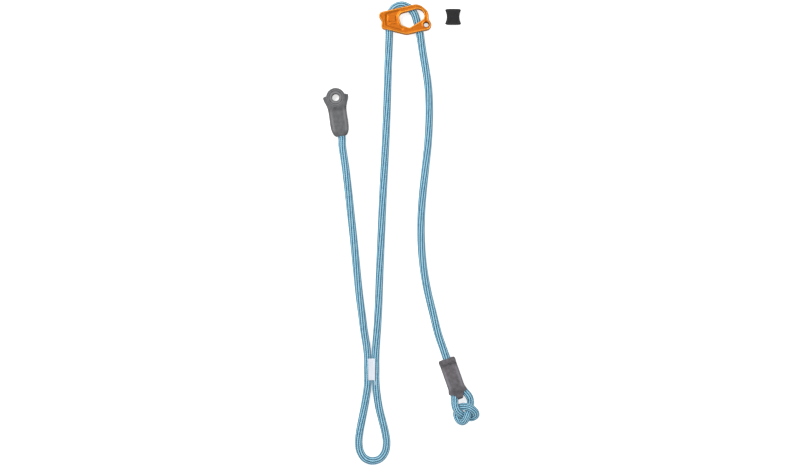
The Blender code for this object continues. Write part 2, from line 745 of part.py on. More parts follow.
def build_fixed_sleeve(frame):
    """The moulded sleeve of the fixed arm, with the connector eye, and the sewn strand inside it."""
    line = fixed_eye_line()
    widths = strand_widths(line)
    rope = swept_strand("fixed_eye_rope", line, widths, SEWN_STRAND_R)
    add_piece("fixed_eye_rope", rope, ROPE_FINISH, frame)

    body = stacked_rings("fixed_sleeve", squared_rings(FIXED_SLEEVE_WIDTHS, drop=FIXED_FIN_DROP), True)
    sleeve = add_piece("fixed_sleeve", body, GREY_FINISH, frame)
    low, high = SLEEVE_MID_Z - SLEEVE_HALF_T, SLEEVE_MID_Z + SLEEVE_HALF_T
    boss = rounded_levels(low, high, SLEEVE_EDGE, SLEEVE_EDGE)
    join(sleeve, "eye_boss", round_plate("eye_boss", (0, 0), EYE_BOSS_R, boss, 36), frame)
    ring = rounded_levels(low - EYE_RING_H, high + EYE_RING_H, EYE_RING_H, EYE_RING_H, 1)
    join(sleeve, "eye_ring", round_plate("eye_ring", (0, 0), EYE_RING_R, ring, 36), frame)
    hole = flared_levels(
        low - EYE_RING_H, high + EYE_RING_H, 2 * HOLE_EDGE, 2 * HOLE_EDGE, SLEEVE_EDGE
    )
    cut(sleeve, "eye_hole", round_plate("eye_hole", (0, 0), EYE_HOLE_R, hole, 36), frame)
    lead_in = np.array([[MOUTH_X, FIXED_MOUTH_Y - 3 * MM, SLEEVE_MID_Z]])
    cavity = swept_strand(
        "fixed_cavity",
        np.vstack([lead_in, line]),
        np.concatenate([widths[:1], widths]) + GAP,
        SEWN_STRAND_R + GAP,
    )
    cut(sleeve, "fixed_cavity", cavity, frame)
    end = swept_strand(
        "fixed_lap_end",
        line[-1] + np.array([[0, 2 * MM, 0], [0, 0, 0], [0, -GAP, 0]]),
        SEWN_STRAND_R + GAP,
        SEWN_STRAND_R + GAP,
    )
    cut(sleeve, "fixed_lap_end", end, frame)
    panel = [(high - PANEL_DEPTH, -0.3 * MM), (high + PANEL_DEPTH, 0.3 * MM)]
    cut(sleeve, "fixed_panel", plate("fixed_panel", FIXED_PANEL_CIRCLES, panel), frame)
    build_hidden_stitching("fixed_eye_stitching", sleeve, -22.0 * MM, frame)


def build_hidden_stitching(name, sleeve, y, frame):
    """The thread across the two strands inside a sleeve, and the room for it."""
    half_w = STRAND_X - HIDDEN_STITCHING_INSET
    face = SEWN_STRAND_R - 0.1 * MM
    mesh = stitching_mesh(name, SEWN_STRAND_R, STRAND_X, half_w, HIDDEN_STITCHING_LENGTH, face)
    thread = add_piece(name, mesh, THREAD_FINISH, frame)
    thread.location = (0.0, y, SLEEVE_MID_Z)
    room = half_w + GAP
    length = HIDDEN_STITCHING_LENGTH / 2 + GAP
    corners = [(-room, -length), (room, -length), (room, length), (-room, length)]
    rings = [
        [(cx, y + cy, SLEEVE_MID_Z + z) for cx, cy in corners]
        for z in (0.0, SEWN_STRAND_R + GAP / 2)
    ]
    cut(sleeve, name + "_room", stacked_rings(name + "_room", rings), frame)


def tail_knot_line():
    """The middle of the tail's last stretch, in the tail sleeve's frame.

    It comes in at the collar, leaves by one leg, ties the knot and comes back by the other leg.
    """
    x, z = STRAND_X, SLEEVE_MID_Z
    entry = [(0.0, -GAP, z), (0.0, -2 * MM, z), (-0.8 * MM, -5 * MM, z), (-3.4 * MM, -10 * MM, z)]
    leg = [(-x, -17.0 * MM, z), (-x, -25.0 * MM, z), (-x, -32.0 * MM, z)]
    lap = [(x, -32.0 * MM, z), (x, -25.0 * MM, z), (x, -18.0 * MM, z)]
    return smooth_curve(entry + leg + KNOT_ROUTE + lap, 3)


def build_tail_sleeve(frame):
    """The tail's sleeve and the knotted eye that hangs out of it."""
    line = tail_knot_line()
    depth = -line[:, 1]
    share = np.clip((depth - 40 * MM) / (12 * MM), 0, 1)
    radii = SEWN_STRAND_R + (KNOT_STRAND_R - SEWN_STRAND_R) * share
    rope = swept_strand("tail_knot_rope", line, radii, radii, 10)
    add_piece("tail_knot_rope", rope, ROPE_FINISH, frame)
    gap = least_gap(line, radii, 3 * ROPE_D)
    print(f"tail_knot_rope: least gap to itself {gap / MM:.2f} mm")

    low, high = SLEEVE_MID_Z - SLEEVE_HALF_T, SLEEVE_MID_Z + SLEEVE_HALF_T
    body = plate("tail_sleeve", TAIL_SLEEVE_CIRCLES, rounded_levels(low, high, SLEEVE_EDGE, SLEEVE_EDGE))
    sleeve = add_piece("tail_sleeve", body, GREY_FINISH, frame)
    half_w = TAIL_HALF_W + COLLAR_STEP
    corner = 1.7 * MM
    inset_x, inset_y = half_w - corner, COLLAR_H - corner
    collar = [
        (-inset_x, -inset_y, corner),
        (inset_x, -inset_y, corner),
        (inset_x, -corner, corner),
        (-inset_x, -corner, corner),
    ]
    collar_levels = rounded_levels(low - COLLAR_STEP, high + COLLAR_STEP, SLEEVE_EDGE, SLEEVE_EDGE)
    join(sleeve, "collar", plate("collar", collar, collar_levels), frame)
    panel = [(high - PANEL_DEPTH, -0.3 * MM), (high + PANEL_DEPTH, 0.3 * MM)]
    cut(sleeve, "tail_panel", plate("tail_panel", TAIL_PANEL_CIRCLES, panel), frame)
    inside = np.flatnonzero(depth < 55 * MM)
    halves = np.split(inside, np.flatnonzero(np.diff(inside) > 1) + 1)
    for side, indices in zip(("entry", "lap"), halves):
        run = line[indices]
        room = radii[indices] + GAP
        if side == "entry":
            run = np.vstack([run[:1] + np.array([[0, 3 * MM, 0]]), run])
            room = np.concatenate([room[:1], room])
        else:
            run = np.vstack([run, run[-1:] + np.array([[0, GAP, 0]])])
            room = np.concatenate([room, room[-1:]])
        cut(sleeve, f"tail_{side}_cavity", swept_strand(f"tail_{side}_cavity", run, room, room), frame)
    build_hidden_stitching("tail_eye_stitching", sleeve, -27.0 * MM, frame)


def build_tie_in_stitching():
    """The thread over the two strands of the tie-in loop, front and back."""
    left, right = TIE_IN_ROUTE[1], TIE_IN_ROUTE[-2]
    strand_x = (right[0] - left[0]) / 2 * MM
    centre = ((right[0] + left[0]) / 2 * MM, BARTACK_Y, ROPE_R)
    front = stitching_mesh("tie_in_bartack", ROPE_R, strand_x, BARTACK_HALF_W, BARTACK_LENGTH)
    add_piece("tie_in_bartack", front, THREAD_FINISH).location = centre
    back = stitching_mesh("tie_in_bartack_back", ROPE_R, strand_x, VALLEY_HALF_W, BARTACK_LENGTH, ROPE_R)
    under = add_piece("tie_in_bartack_back", back, THREAD_FINISH)
    under.location = centre
    under.rotation_euler = (0.0, math.pi, 0.0)


def build_keeper():
    """The loose elastic keeper, a flat sleeve with a slot along Y."""
    frame = add_frame("keeper_frame", KEEPER_PLACE)
    levels = rounded_levels(0.0, KEEPER_T, KEEPER_EDGE, KEEPER_EDGE)
    keeper = add_piece("keeper", plate("keeper", KEEPER_CIRCLES, levels), BLACK_FINISH, frame)
    panel = [(KEEPER_T - KEEPER_PANEL_DEPTH, -0.2 * MM), (KEEPER_T + KEEPER_PANEL_DEPTH, 0.2 * MM)]
    cut(keeper, "keeper_panel", plate("keeper_panel", KEEPER_PANEL_CIRCLES, panel), frame)
    middle = KEEPER_BOTTOM_WALL + KEEPER_SLOT_T / 2
    length = 12.0 * MM
    rings = squared_rings(
        [(-length, KEEPER_SLOT_HALF_W, KEEPER_SLOT_T / 2), (length, KEEPER_SLOT_HALF_W, KEEPER_SLOT_T / 2)]
    )
    lowered = [[(x, y, z - SLEEVE_MID_Z + middle) for x, y, z in ring] for ring in rings]
    cut(keeper, "keeper_slot", stacked_rings("keeper_slot", lowered), frame)


def in_part_frame(point, place, turn):
    """A sleeve's own (x, y, z) in the part's frame."""
    x, y, z = point
    return (
        place[0] + x * math.cos(turn) - y * math.sin(turn),
        place[1] + x * math.sin(turn) + y * math.cos(turn),
        z,
    )


def build_rope(fixed_arm, adjuster):
    """The free stretches of rope, all read from one smooth line, so that each meets the next end to end."""
    mouth, collar = (
        [in_part_frame((x, y, SLEEVE_MID_Z), place, turn) for y in levels]
        for x, levels, place, turn in (
            (MOUTH_X, (FIXED_MOUTH_Y - GAP, FIXED_MOUTH_Y - 3 * MM), FIXED_EYE, FIXED_SLEEVE_TILT),
            (0.0, (3 * MM, GAP), TAIL_SLEEVE_TOP, TAIL_SLEEVE_TILT),
        )
    )
    routes = [FIXED_ARM_ROUTE, ARM_BEND_ROUTE, TIE_IN_ROUTE, MAIN_ARM_ROUTE, BIGHT_ROUTE, TAIL_ROUTE]
    points = [*mouth, *[(x * MM, y * MM, z * MM) for route in routes for x, y, z in route], *collar]
    fineness = 24
    fine = smooth_curve(points, fineness)
    along = arc_lengths(fine)
    marks = np.cumsum([len(mouth), *[len(route) for route in routes]])
    starts = [0.0, *[along[mark * fineness] for mark in marks[1:-1]], along[-1]]
    ends = (
        ("fixed_arm_rope", LONG_SPACING, fixed_arm),
        ("fixed_arm_bend", BEND_SPACING, None),
        ("tie_in_loop_rope", BEND_SPACING, None),
        ("main_arm_rope", LONG_SPACING, None),
        ("adjuster_bight_rope", TURN_SPACING, adjuster),
        ("tail_rope", LONG_SPACING, adjuster),
    )
    for i, (name, spacing, parent) in enumerate(ends):
        start = starts[i] + (GAP / 2 if i else 0.0)
        end = starts[i + 1] - (GAP / 2 if i < len(ends) - 1 else 0.0)
        rope_tube(name, points_between(fine, start, end, spacing), parent)
        print(f"{name}: {(end - start) / MM:.0f} mm long")


def main():
    clear_scene()
    adjuster = add_frame("adjuster_pivot", TURN_CENTRE)
    fixed_arm = add_frame("fixed_arm_pivot", ARM_SWING_AXIS)
    fixed_sleeve = add_frame(
        "fixed_sleeve_frame",
        Vector(FIXED_EYE) - Vector(ARM_SWING_AXIS),
        FIXED_SLEEVE_TILT,
        fixed_arm,
    )
    tail_sleeve = add_frame("tail_sleeve_frame", TAIL_SLEEVE_TOP, TAIL_SLEEVE_TILT)
    build_adjuster(adjuster)
    build_fixed_sleeve(fixed_sleeve)
    build_tail_sleeve(tail_sleeve)
    build_tie_in_stitching()
    build_keeper()
    build_rope(fixed_arm, adjuster)


main()
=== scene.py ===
"""Looks of an adjustable rope lanyard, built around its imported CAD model.

The rope is one length of two-tone kernmantle. Every stretch of it reads the same line and the same braid, so
each stretch meets the next without a seam. Lengths are in metres unless a name says otherwise.
"""

import logging
import math
from collections.abc import Sequence
from dataclasses import dataclass, field
from enum import Enum

import bpy
import numpy as np
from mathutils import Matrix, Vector


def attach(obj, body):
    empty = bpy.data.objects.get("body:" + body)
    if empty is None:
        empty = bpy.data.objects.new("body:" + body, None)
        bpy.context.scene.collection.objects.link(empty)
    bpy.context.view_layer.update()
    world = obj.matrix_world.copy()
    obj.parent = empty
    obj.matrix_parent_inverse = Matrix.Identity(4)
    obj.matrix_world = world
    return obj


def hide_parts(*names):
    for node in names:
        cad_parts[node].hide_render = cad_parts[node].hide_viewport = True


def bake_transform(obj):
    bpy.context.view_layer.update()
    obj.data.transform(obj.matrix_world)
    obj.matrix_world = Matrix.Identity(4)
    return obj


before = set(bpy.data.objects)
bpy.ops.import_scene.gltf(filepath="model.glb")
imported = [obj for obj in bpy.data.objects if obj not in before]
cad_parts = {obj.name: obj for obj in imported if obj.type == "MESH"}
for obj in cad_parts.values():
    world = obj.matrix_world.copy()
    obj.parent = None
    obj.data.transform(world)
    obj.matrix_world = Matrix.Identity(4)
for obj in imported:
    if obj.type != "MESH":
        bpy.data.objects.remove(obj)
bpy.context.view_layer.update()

LOG = logging.getLogger("lanyard")
MM = 0.001
TAU = math.tau
# Points nearer than this count as one, and divisors are kept above TINY
SAME_POINT = 1e-8
TINY = 1e-6

Array = np.ndarray
Material = bpy.types.Material
Mesh = bpy.types.Mesh
Socket = bpy.types.NodeSocket
Colour = tuple[float, float, float, float]
Route = Circles = Stations = Sequence[tuple[float, float, float]]

# The rope's route along its middle, in millimetres, from the fixed sleeve to the tail sleeve
FIXED_ARM_ROUTE: Route = (
    (-64.6, -148.0, 5.4), (-62.7, -162.0, 4.6), (-60.5, -176.4, 4.6), (-58.7, -190.8, 4.6),
    (-57.0, -205.2, 4.6), (-53.9, -234.0, 4.6), (-50.7, -262.8, 4.6), (-47.8, -291.6, 4.6),
    (-44.9, -320.4, 4.6),
)
ARM_BEND_ROUTE: Route = (
    (-43.7, -331.0, 4.6), (-40.9, -352.0, 4.6), (-38.0, -374.0, 4.6), (-35.2, -391.0, 4.6),
)
TIE_IN_ROUTE: Route = (
    (-33.9, -404.0, 4.6), (-33.9, -418.0, 4.6), (-33.9, -431.0, 4.6), (-34.2, -438.0, 4.6),
    (-35.8, -450.0, 4.6), (-38.2, -464.4, 4.6), (-41.0, -478.8, 4.6), (-43.6, -493.2, 4.6),
    (-44.7, -506.0, 4.6), (-42.6, -517.2, 4.6), (-36.8, -524.8, 4.6), (-28.0, -527.4, 4.6),
    (-19.2, -524.8, 4.6), (-13.3, -517.2, 4.6), (-11.3, -506.0, 4.6), (-13.0, -493.2, 4.6),
    (-16.6, -478.8, 4.6), (-20.2, -464.4, 4.6), (-22.6, -450.0, 4.6), (-24.0, -438.0, 4.6),
    (-24.4, -431.0, 4.6), (-24.4, -418.0, 4.6), (-24.5, -404.0, 4.6),
)
MAIN_ARM_ROUTE: Route = (
    (-23.9, -390.0, 4.6), (-22.1, -363.6, 4.6), (-20.7, -334.8, 4.6), (-19.8, -306.0, 4.6),
    (-18.6, -277.2, 4.6), (-17.4, -248.4, 4.6), (-16.2, -219.6, 4.6), (-14.8, -190.8, 4.6),
    (-13.3, -162.0, 4.6), (-12.0, -133.2, 4.6), (-10.9, -104.4, 4.6), (-10.1, -75.6, 4.6),
    (-9.2, -46.8, 4.6), (-8.6, -32.0, 5.7),
)
BIGHT_ROUTE: Route = (
    (-8.2, -17.5, 7.7), (-8.2, -10.0, 7.9), (-8.2, -3.0, 7.9), (-7.3, 4.6, 7.9), (-4.7, 12.0, 7.9),
    (0.7, 16.8, 7.9), (7.0, 18.3, 7.9), (13.4, 16.4, 7.9), (18.8, 12.4, 7.9), (22.2, 7.4, 7.9),
    (24.2, 1.6, 7.9), (25.8, -4.6, 7.9), (27.4, -10.6, 7.9),
)
TAIL_ROUTE: Route = (
    (28.8, -17.0, 7.6), (30.7, -30.0, 5.7), (33.2, -45.0, 4.6), (36.0, -61.2, 4.6), (38.4, -78.0, 4.6),
    (39.7, -97.2, 4.6), (39.7, -118.8, 4.6), (38.2, -147.6, 4.6), (35.2, -176.4, 4.6), (32.2, -205.2, 4.6),
    (30.2, -234.0, 4.6), (30.1, -262.8, 4.6), (32.3, -291.6, 4.6), (37.0, -320.4, 4.6), (43.9, -349.2, 4.6),
    (51.3, -378.0, 4.8), (56.3, -392.4, 5.6),
)
# The sewn eye inside the tail sleeve and the knot that hangs out of it, in the tail sleeve's frame
TAIL_ENTRY_ROUTE: Route = (
    (0.0, -0.3, 6.3), (0.0, -2.0, 6.3), (-0.8, -5.0, 6.3), (-3.4, -10.0, 6.3), (-4.7, -17.0, 6.3),
    (-4.7, -25.0, 6.3), (-4.7, -32.0, 6.3),
)
KNOT_ROUTE: Route = (
    (-5.0, -38.0, 6.3), (-6.0, -44.5, 6.8), (-8.0, -50.5, 9.5), (-9.5, -56.5, 13.0), (-9.0, -63.0, 13.0),
    (-6.0, -68.0, 10.0), (-2.5, -72.5, 5.2), (2.5, -76.0, 4.5), (8.5, -77.0, 6.5), (11.5, -73.5, 11.0),
    (10.0, -68.0, 14.5), (5.5, -63.0, 14.5), (0.5, -60.5, 11.0), (-4.5, -60.0, 6.5), (-9.5, -63.5, 4.0),
    (-12.0, -70.0, 4.0), (-10.0, -76.0, 5.5), (-6.0, -78.0, 10.5), (-2.0, -75.0, 14.0), (2.0, -70.5, 12.0),
    (4.5, -66.5, 7.0), (8.0, -62.0, 4.5), (10.5, -56.5, 4.0), (10.0, -50.0, 5.5), (7.5, -44.0, 6.3),
    (5.0, -38.0, 6.3),
)
TAIL_LAP_ROUTE: Route = (
    (4.7, -32.0, 6.3), (4.7, -25.0, 6.3), (4.7, -18.0, 6.3),
)
# The strand folded round the fixed arm's eye, in that sleeve's frame
EYE_RISE_ROUTE: Route = (
    (0.4, -43.2, 6.3), (1.4, -41.5, 6.3), (3.5, -37.0, 6.3), (4.7, -32.0, 6.3), (4.7, -25.0, 6.3),
    (4.7, -17.0, 6.3), (6.2, -9.5, 6.3),
)
EYE_FALL_ROUTE: Route = (
    (-6.2, -9.5, 6.3), (-4.7, -17.0, 6.3), (-4.7, -25.0, 6.3), (-4.7, -30.0, 6.3),
)
# Where the rope runs out of the fixed sleeve and into the tail sleeve, in each sleeve's frame
FIXED_MOUTH_ROUTE: Route = ((0.4, -43.4, 6.3), (0.4, -46.8, 6.3), (0.4, -49.5, 6.3))
TAIL_MOUTH_ROUTE: Route = ((0.0, 3.0, 6.3), (0.0, 0.3, 6.3), (0.0, -2.4, 6.3))
# The cut end of the stitching's thread
THREAD_END_ROUTE: Route = (
    (-25.9, -429.6, 9.2), (-25.3, -431.2, 9.7), (-24.6, -432.8, 9.9), (-24.3, -434.6, 9.8),
    (-24.7, -436.2, 9.6),
)
# The fixed sleeve's places along Y, half widths and half thicknesses, in millimetres
FIXED_STATIONS: Stations = (
    (-46.5, 6.2, 5.5), (-45.9, 7.0, 5.8), (-45.2, 7.6, 5.95), (-42.0, 9.4, 6.1), (-37.0, 10.6, 6.1),
    (-30.0, 10.9, 6.1), (-20.0, 10.8, 6.0), (-12.5, 11.2, 5.7), (-5.0, 12.8, 5.0), (0.0, 14.3, 4.0),
    (6.3, 15.4, 3.2),
)

# Plan outlines as circles that a belt runs round, in millimetres
CHEEK_CIRCLES: Circles = (
    (12.8, -6.0, 11.0), (36.1, -5.8, 6.1), (42.1, 1.7, -3.0), (29.2, 5.2, 9.8), (23.7, 5.8, 13.0),
    (-15.5, 5.2, 4.9), (-20.5, -2.1, -3.2), (-13.6, -6.8, 4.05),
)
WINDOW_CIRCLES: Circles = ((10.4, -1.8, 5.3), (15.6, -5.8, 3.2), (26.2, 5.6, 7.6), (9.0, 3.6, 5.2))
RECESS_CIRCLES: Circles = (
    (-9.8, -4.9, 2.2), (7.0, -10.5, 1.1), (10.4, -1.8, -7.5), (9.0, 3.6, -7.4), (3.2, 10.2, 1.1),
    (-9.9, 5.9, 2.2),
)
PAD_CIRCLES: Circles = ((-9.0, -0.6, 1.0), (-1.4, -0.6, 1.0), (-1.4, 3.9, 1.0), (-9.0, 3.9, 1.0))
SADDLE_CIRCLES: Circles = ((1.2, -3.6, 4.3), (9.0, 3.9, -5.8), (10.8, 11.0, 0.85), (6.4, 4.6, 8.4))
FIXED_PANEL_CIRCLES: Circles = (
    (-4.6, -38.0, 2.0), (4.6, -38.0, 2.0), (5.2, -17.5, 1.6), (0.0, -11.5, 1.6), (-5.2, -17.5, 1.6),
)
TAIL_SLEEVE_CIRCLES: Circles = (
    (-8.0, -2.0, 2.0), (-13.0, -35.6, -3.0), (-9.5, -41.0, 1.8), (-7.6, -45.0, -1.4), (-2.0, -48.8, 2.0),
    (2.0, -48.8, 2.0), (7.6, -45.0, -1.4), (9.5, -41.0, 1.8), (13.0, -35.6, -3.0), (8.0, -2.0, 2.0),
)
TAIL_PANEL_CIRCLES: Circles = (
    (-5.4, -38.0, 1.2), (-2.0, -45.4, 1.2), (2.0, -45.4, 1.2), (5.4, -38.0, 1.2), (5.4, -8.0, 1.2),
    (-5.4, -8.0, 1.2),
)
KEEPER_CIRCLES: Circles = (
    (-8.3, -8.3, 1.2), (0.0, 38.0, 47.8), (8.3, -8.3, 1.2), (24.1, 0.0, -16.5), (8.3, 8.3, 1.2),
    (0.0, -38.0, 47.8), (-8.3, 8.3, 1.2), (-24.1, 0.0, -16.5),
)
KEEPER_PANEL_CIRCLES: Circles = ((-5.4, -6.2, 0.9), (5.4, -6.2, 0.9), (5.4, 6.2, 0.9), (-5.4, 6.2, 0.9))
PLATE_LINES = (CHEEK_CIRCLES, WINDOW_CIRCLES)
# The adjuster's small hole, and each fastener's place and shoulder radius, in millimetres
AUXILIARY_HOLE = (36.1, -5.5)
FASTENERS = {
    "nose_post": (-14.9, 6.4, 2.4),
    "lower_post": (14.0, -12.6, 3.0),
    "saddle_rivet_low": (0.7, -4.2, 1.5),
    "saddle_rivet_high": (0.8, 7.2, 1.5),
}


class Slot(Enum):
    """The record's material slots."""

    ROPE = "rope"
    THREAD = "thread"
    ANODISED = "anodised"
    SADDLE = "saddle_metal"
    STEEL = "steel"
    GREY = "sleeve_grey"
    BLACK = "keeper_black"


class Join(Enum):
    """How one closed mesh is combined with another."""

    ADD = "UNION"
    CUT = "DIFFERENCE"


@dataclass(frozen=True)
class Place:
    """A sub-assembly's own frame on the table: its origin and its turn about Z, in degrees."""

    x: float
    y: float
    turn_deg: float = 0.0

    def turn(self) -> Array:
        """The matrix that turns rows of points about Z."""
        c, s = math.cos(math.radians(self.turn_deg)), math.sin(math.radians(self.turn_deg))
        return np.array([[c, s, 0.0], [-s, c, 0.0], [0.0, 0.0, 1.0]])

    def to_part(self, points: Array) -> Array:
        """Points of this frame in the part's frame. The last axis is (x, y, z)."""
        return points @ self.turn() + (self.x, self.y, 0.0)

    def to_own(self, points: Array) -> Array:
        """Points of the part's frame in this frame."""
        return (points - (self.x, self.y, 0.0)) @ self.turn().T


FIXED_EYE = Place(-72.2 * MM, -92.3 * MM, 8.4)
TAIL_TOP = Place(60.7 * MM, -404.9 * MM, 19.5)
KEEPER_PLACE = Place(68.4 * MM, 4.6 * MM)
PART = Place(0.0, 0.0)


def in_metres(values: Sequence) -> Array:
    """Millimetres as an array in metres."""
    return np.array(values) * MM


def smooth_line(points: Array, fineness: int = 24) -> Array:
    """Cubic pieces with shared tangents through the route's points, as part of a smooth line.

    Args:
        points: The route, one point a row.
        fineness: How many points each piece gets.

    Returns:
        The points of the smooth line.
    """
    chord = np.linalg.norm(np.diff(points, axis=0), axis=1)
    slope = np.diff(points, axis=0) / chord[:, None]
    share = (chord[1:] / (chord[:-1] + chord[1:]))[:, None]
    tangent = np.vstack([slope[:1], slope[:-1] * share + slope[1:] * (1 - share), slope[-1:]])
    t = np.linspace(0, 1, fineness, endpoint=False)[None, :, None]
    rise, back = 3 * t**2 - 2 * t**3, (1 - t) ** 2
    pieces = (
        points[:-1, None] * (1 - rise)
        + points[1:, None] * rise
        + chord[:, None, None] * (tangent[:-1, None] * t * back - tangent[1:, None] * t**2 * (1 - t))
    )
    return np.vstack([pieces.reshape(-1, 3), points[-1:]])


def arc_lengths(points: Array) -> Array:
    """The distance of each point along its line."""
    return np.concatenate([[0.0], np.cumsum(np.linalg.norm(np.diff(points, axis=0), axis=1))])


def evenly(line: Array, step: float, start: float = 0.0, end: float | None = None) -> tuple[Array, Array]:
    """Evenly spaced points of a line between two distances along it.

    Args:
        line: The line's points.
        step: The wanted spacing.
        start: The first distance.
        end: The last distance, or none for the line's whole length.

    Returns:
        The points, and their distances along the line.
    """
    along = arc_lengths(line)
    end = float(along[-1]) if end is None else end
    wanted = np.linspace(start, end, max(2, round((end - start) / step)) + 1)
    return np.stack([np.interp(wanted, along, line[:, k]) for k in range(3)], axis=1), wanted


def smooth_step(value: Array, low: float, high: float) -> Array:
    """0 below low, 1 above high, and a smooth rise between them."""
    t = np.clip((value - low) / (high - low), 0.0, 1.0)
    return t * t * (3 - 2 * t)


def groove(value: Array, middle: float, half_width: float) -> Array:
    """1 at middle, falling smoothly to 0 at half_width on either side."""
    return 1.0 - smooth_step(np.abs(value - middle), 0.0, half_width)


def dome(value: Array, power: int = 2) -> Array:
    """1 where value is 0, falling to 0 at -1 and 1: as a half circle, or squarer for a higher power."""
    return np.sqrt(np.maximum(1 - np.abs(value) ** power, 0.0))


def belt_outline(circles: Circles, grow: float = 0.0, step_deg: float = 3.0) -> Array:
    """The line that runs anticlockwise round circles like a belt, moved outwards by grow.

    Its straight runs are the circles' common tangents, and a negative radius makes a hollow stretch.

    Args:
        circles: Each circle's x, y and radius, in millimetres.
        grow: How far the line is moved outwards, in metres.
        step_deg: The angle between points on a round stretch.

    Returns:
        The outline's points, x and y, without a repeated last point.
    """
    rows = [(x * MM, y * MM, r * MM) for x, y, r in circles]
    ahead = [*rows[1:], rows[0]]
    leaves = [
        math.atan2(y1 - y0, x1 - x0) - math.acos((r0 - r1) / math.hypot(x1 - x0, y1 - y0))
        for (x0, y0, r0), (x1, y1, r1) in zip(rows, ahead)
    ]
    arcs = []
    for (x, y, r), start, end in zip(rows, [leaves[-1], *leaves[:-1]], leaves):
        turn = (end - start) % TAU - (TAU if r < 0 else 0.0)
        angles = start + turn * np.linspace(0, 1, max(2, math.ceil(abs(math.degrees(turn)) / step_deg) + 1))
        arcs.append(np.stack([x + (r + grow) * np.cos(angles), y + (r + grow) * np.sin(angles)], axis=1))
    return np.vstack(arcs)


def densely(outline: Array, step: float = 0.1 * MM) -> Array:
    """A closed outline with points added to its straight runs.

    Args:
        outline: The outline's points.
        step: The widest gap that stays between two of them.

    Returns:
        The points of the denser outline.
    """
    way = np.roll(outline, -1, axis=0) - outline
    counts = np.maximum(1, np.ceil(np.linalg.norm(way, axis=1) / step)).astype(int)
    firsts, shares = np.repeat(np.cumsum(counts) - counts, counts), np.repeat(counts, counts)
    share = (np.arange(counts.sum()) - firsts) / shares
    return np.repeat(outline, counts, axis=0) + np.repeat(way, counts, axis=0) * share[:, None]


def reach(outline: Array, centre: Array, angles: Array) -> Array:
    """How far a closed outline lies from a centre in each direction, where each ray meets it once."""
    way = densely(outline) - centre
    return np.interp(angles, np.arctan2(way[:, 1], way[:, 0]), np.linalg.norm(way, axis=1), period=TAU)


def half_widths(outline: Array, y: Array) -> Array:
    """How wide an outline is on each side of x = 0, where both sides are the same.

    Args:
        outline: The outline's points.
        y: The places along Y that are asked for.

    Returns:
        The half width at each place.
    """
    points = densely(outline)
    right = points[points[:, 0] >= 0]
    order = np.argsort(right[:, 1])
    return np.interp(y, right[order, 1], right[order, 0])


def inside_depth(points: Array, outline: Array) -> Array:
    """How deep each point lies inside a closed outline: its distance to the line, negative outside.

    Args:
        points: An array whose last axis starts with x and y.
        outline: The outline's points.

    Returns:
        The depths, in the shape of points without its last axis.
    """
    flat = points[..., :2].reshape(-1, 2)
    nearest = np.full(len(flat), np.inf)
    crossings = np.zeros(len(flat), dtype=int)
    for start, end in zip(outline, np.roll(outline, -1, axis=0)):
        way = end - start
        length2 = float(way @ way)
        if length2 < SAME_POINT**2:
            continue
        t = np.clip((flat - start) @ way / length2, 0.0, 1.0)
        nearest = np.minimum(nearest, np.linalg.norm(flat - start - t[:, None] * way, axis=1))
        spans = (start[1] > flat[:, 1]) != (end[1] > flat[:, 1])
        with np.errstate(divide="ignore", invalid="ignore"):
            cross_x = start[0] + (flat[:, 1] - start[1]) * way[0] / way[1]
        crossings += spans & (flat[:, 0] < cross_x)
    return np.where(crossings % 2 == 1, nearest, -nearest).reshape(points.shape[:-1])


def encloses(grid: Array, capped: bool) -> float:
    """The signed volume inside a closed grid of points.

    Each cell is split into two triangles, whose pyramids from the grid's middle are summed.

    Args:
        grid: Points in rows and columns, (rows, columns, 3).
        capped: Whether flat faces close the first and last rows.

    Returns:
        The volume, positive where the faces look outwards.
    """
    rows = grid - grid.mean(axis=(0, 1))
    if capped:
        first, last = (np.broadcast_to(rows[k].mean(axis=0), rows[k].shape) for k in (0, -1))
        rows = np.concatenate([first[None], rows, last[None]])
    a, b = rows, np.roll(rows, -1, axis=1)
    c, d = np.roll(b, -1, axis=0), np.roll(a, -1, axis=0)
    if capped:
        a, b, c, d = a[:-1], b[:-1], c[:-1], d[:-1]
    return float(np.einsum("ijk,ijk->", a, np.cross(b, c) + np.cross(c, d))) / 6


def crease(mesh: Mesh, degrees: float) -> None:
    """Marks edges as sharp where faces meet at more than an angle."""
    mesh.set_sharp_from_angle(angle=math.radians(degrees))


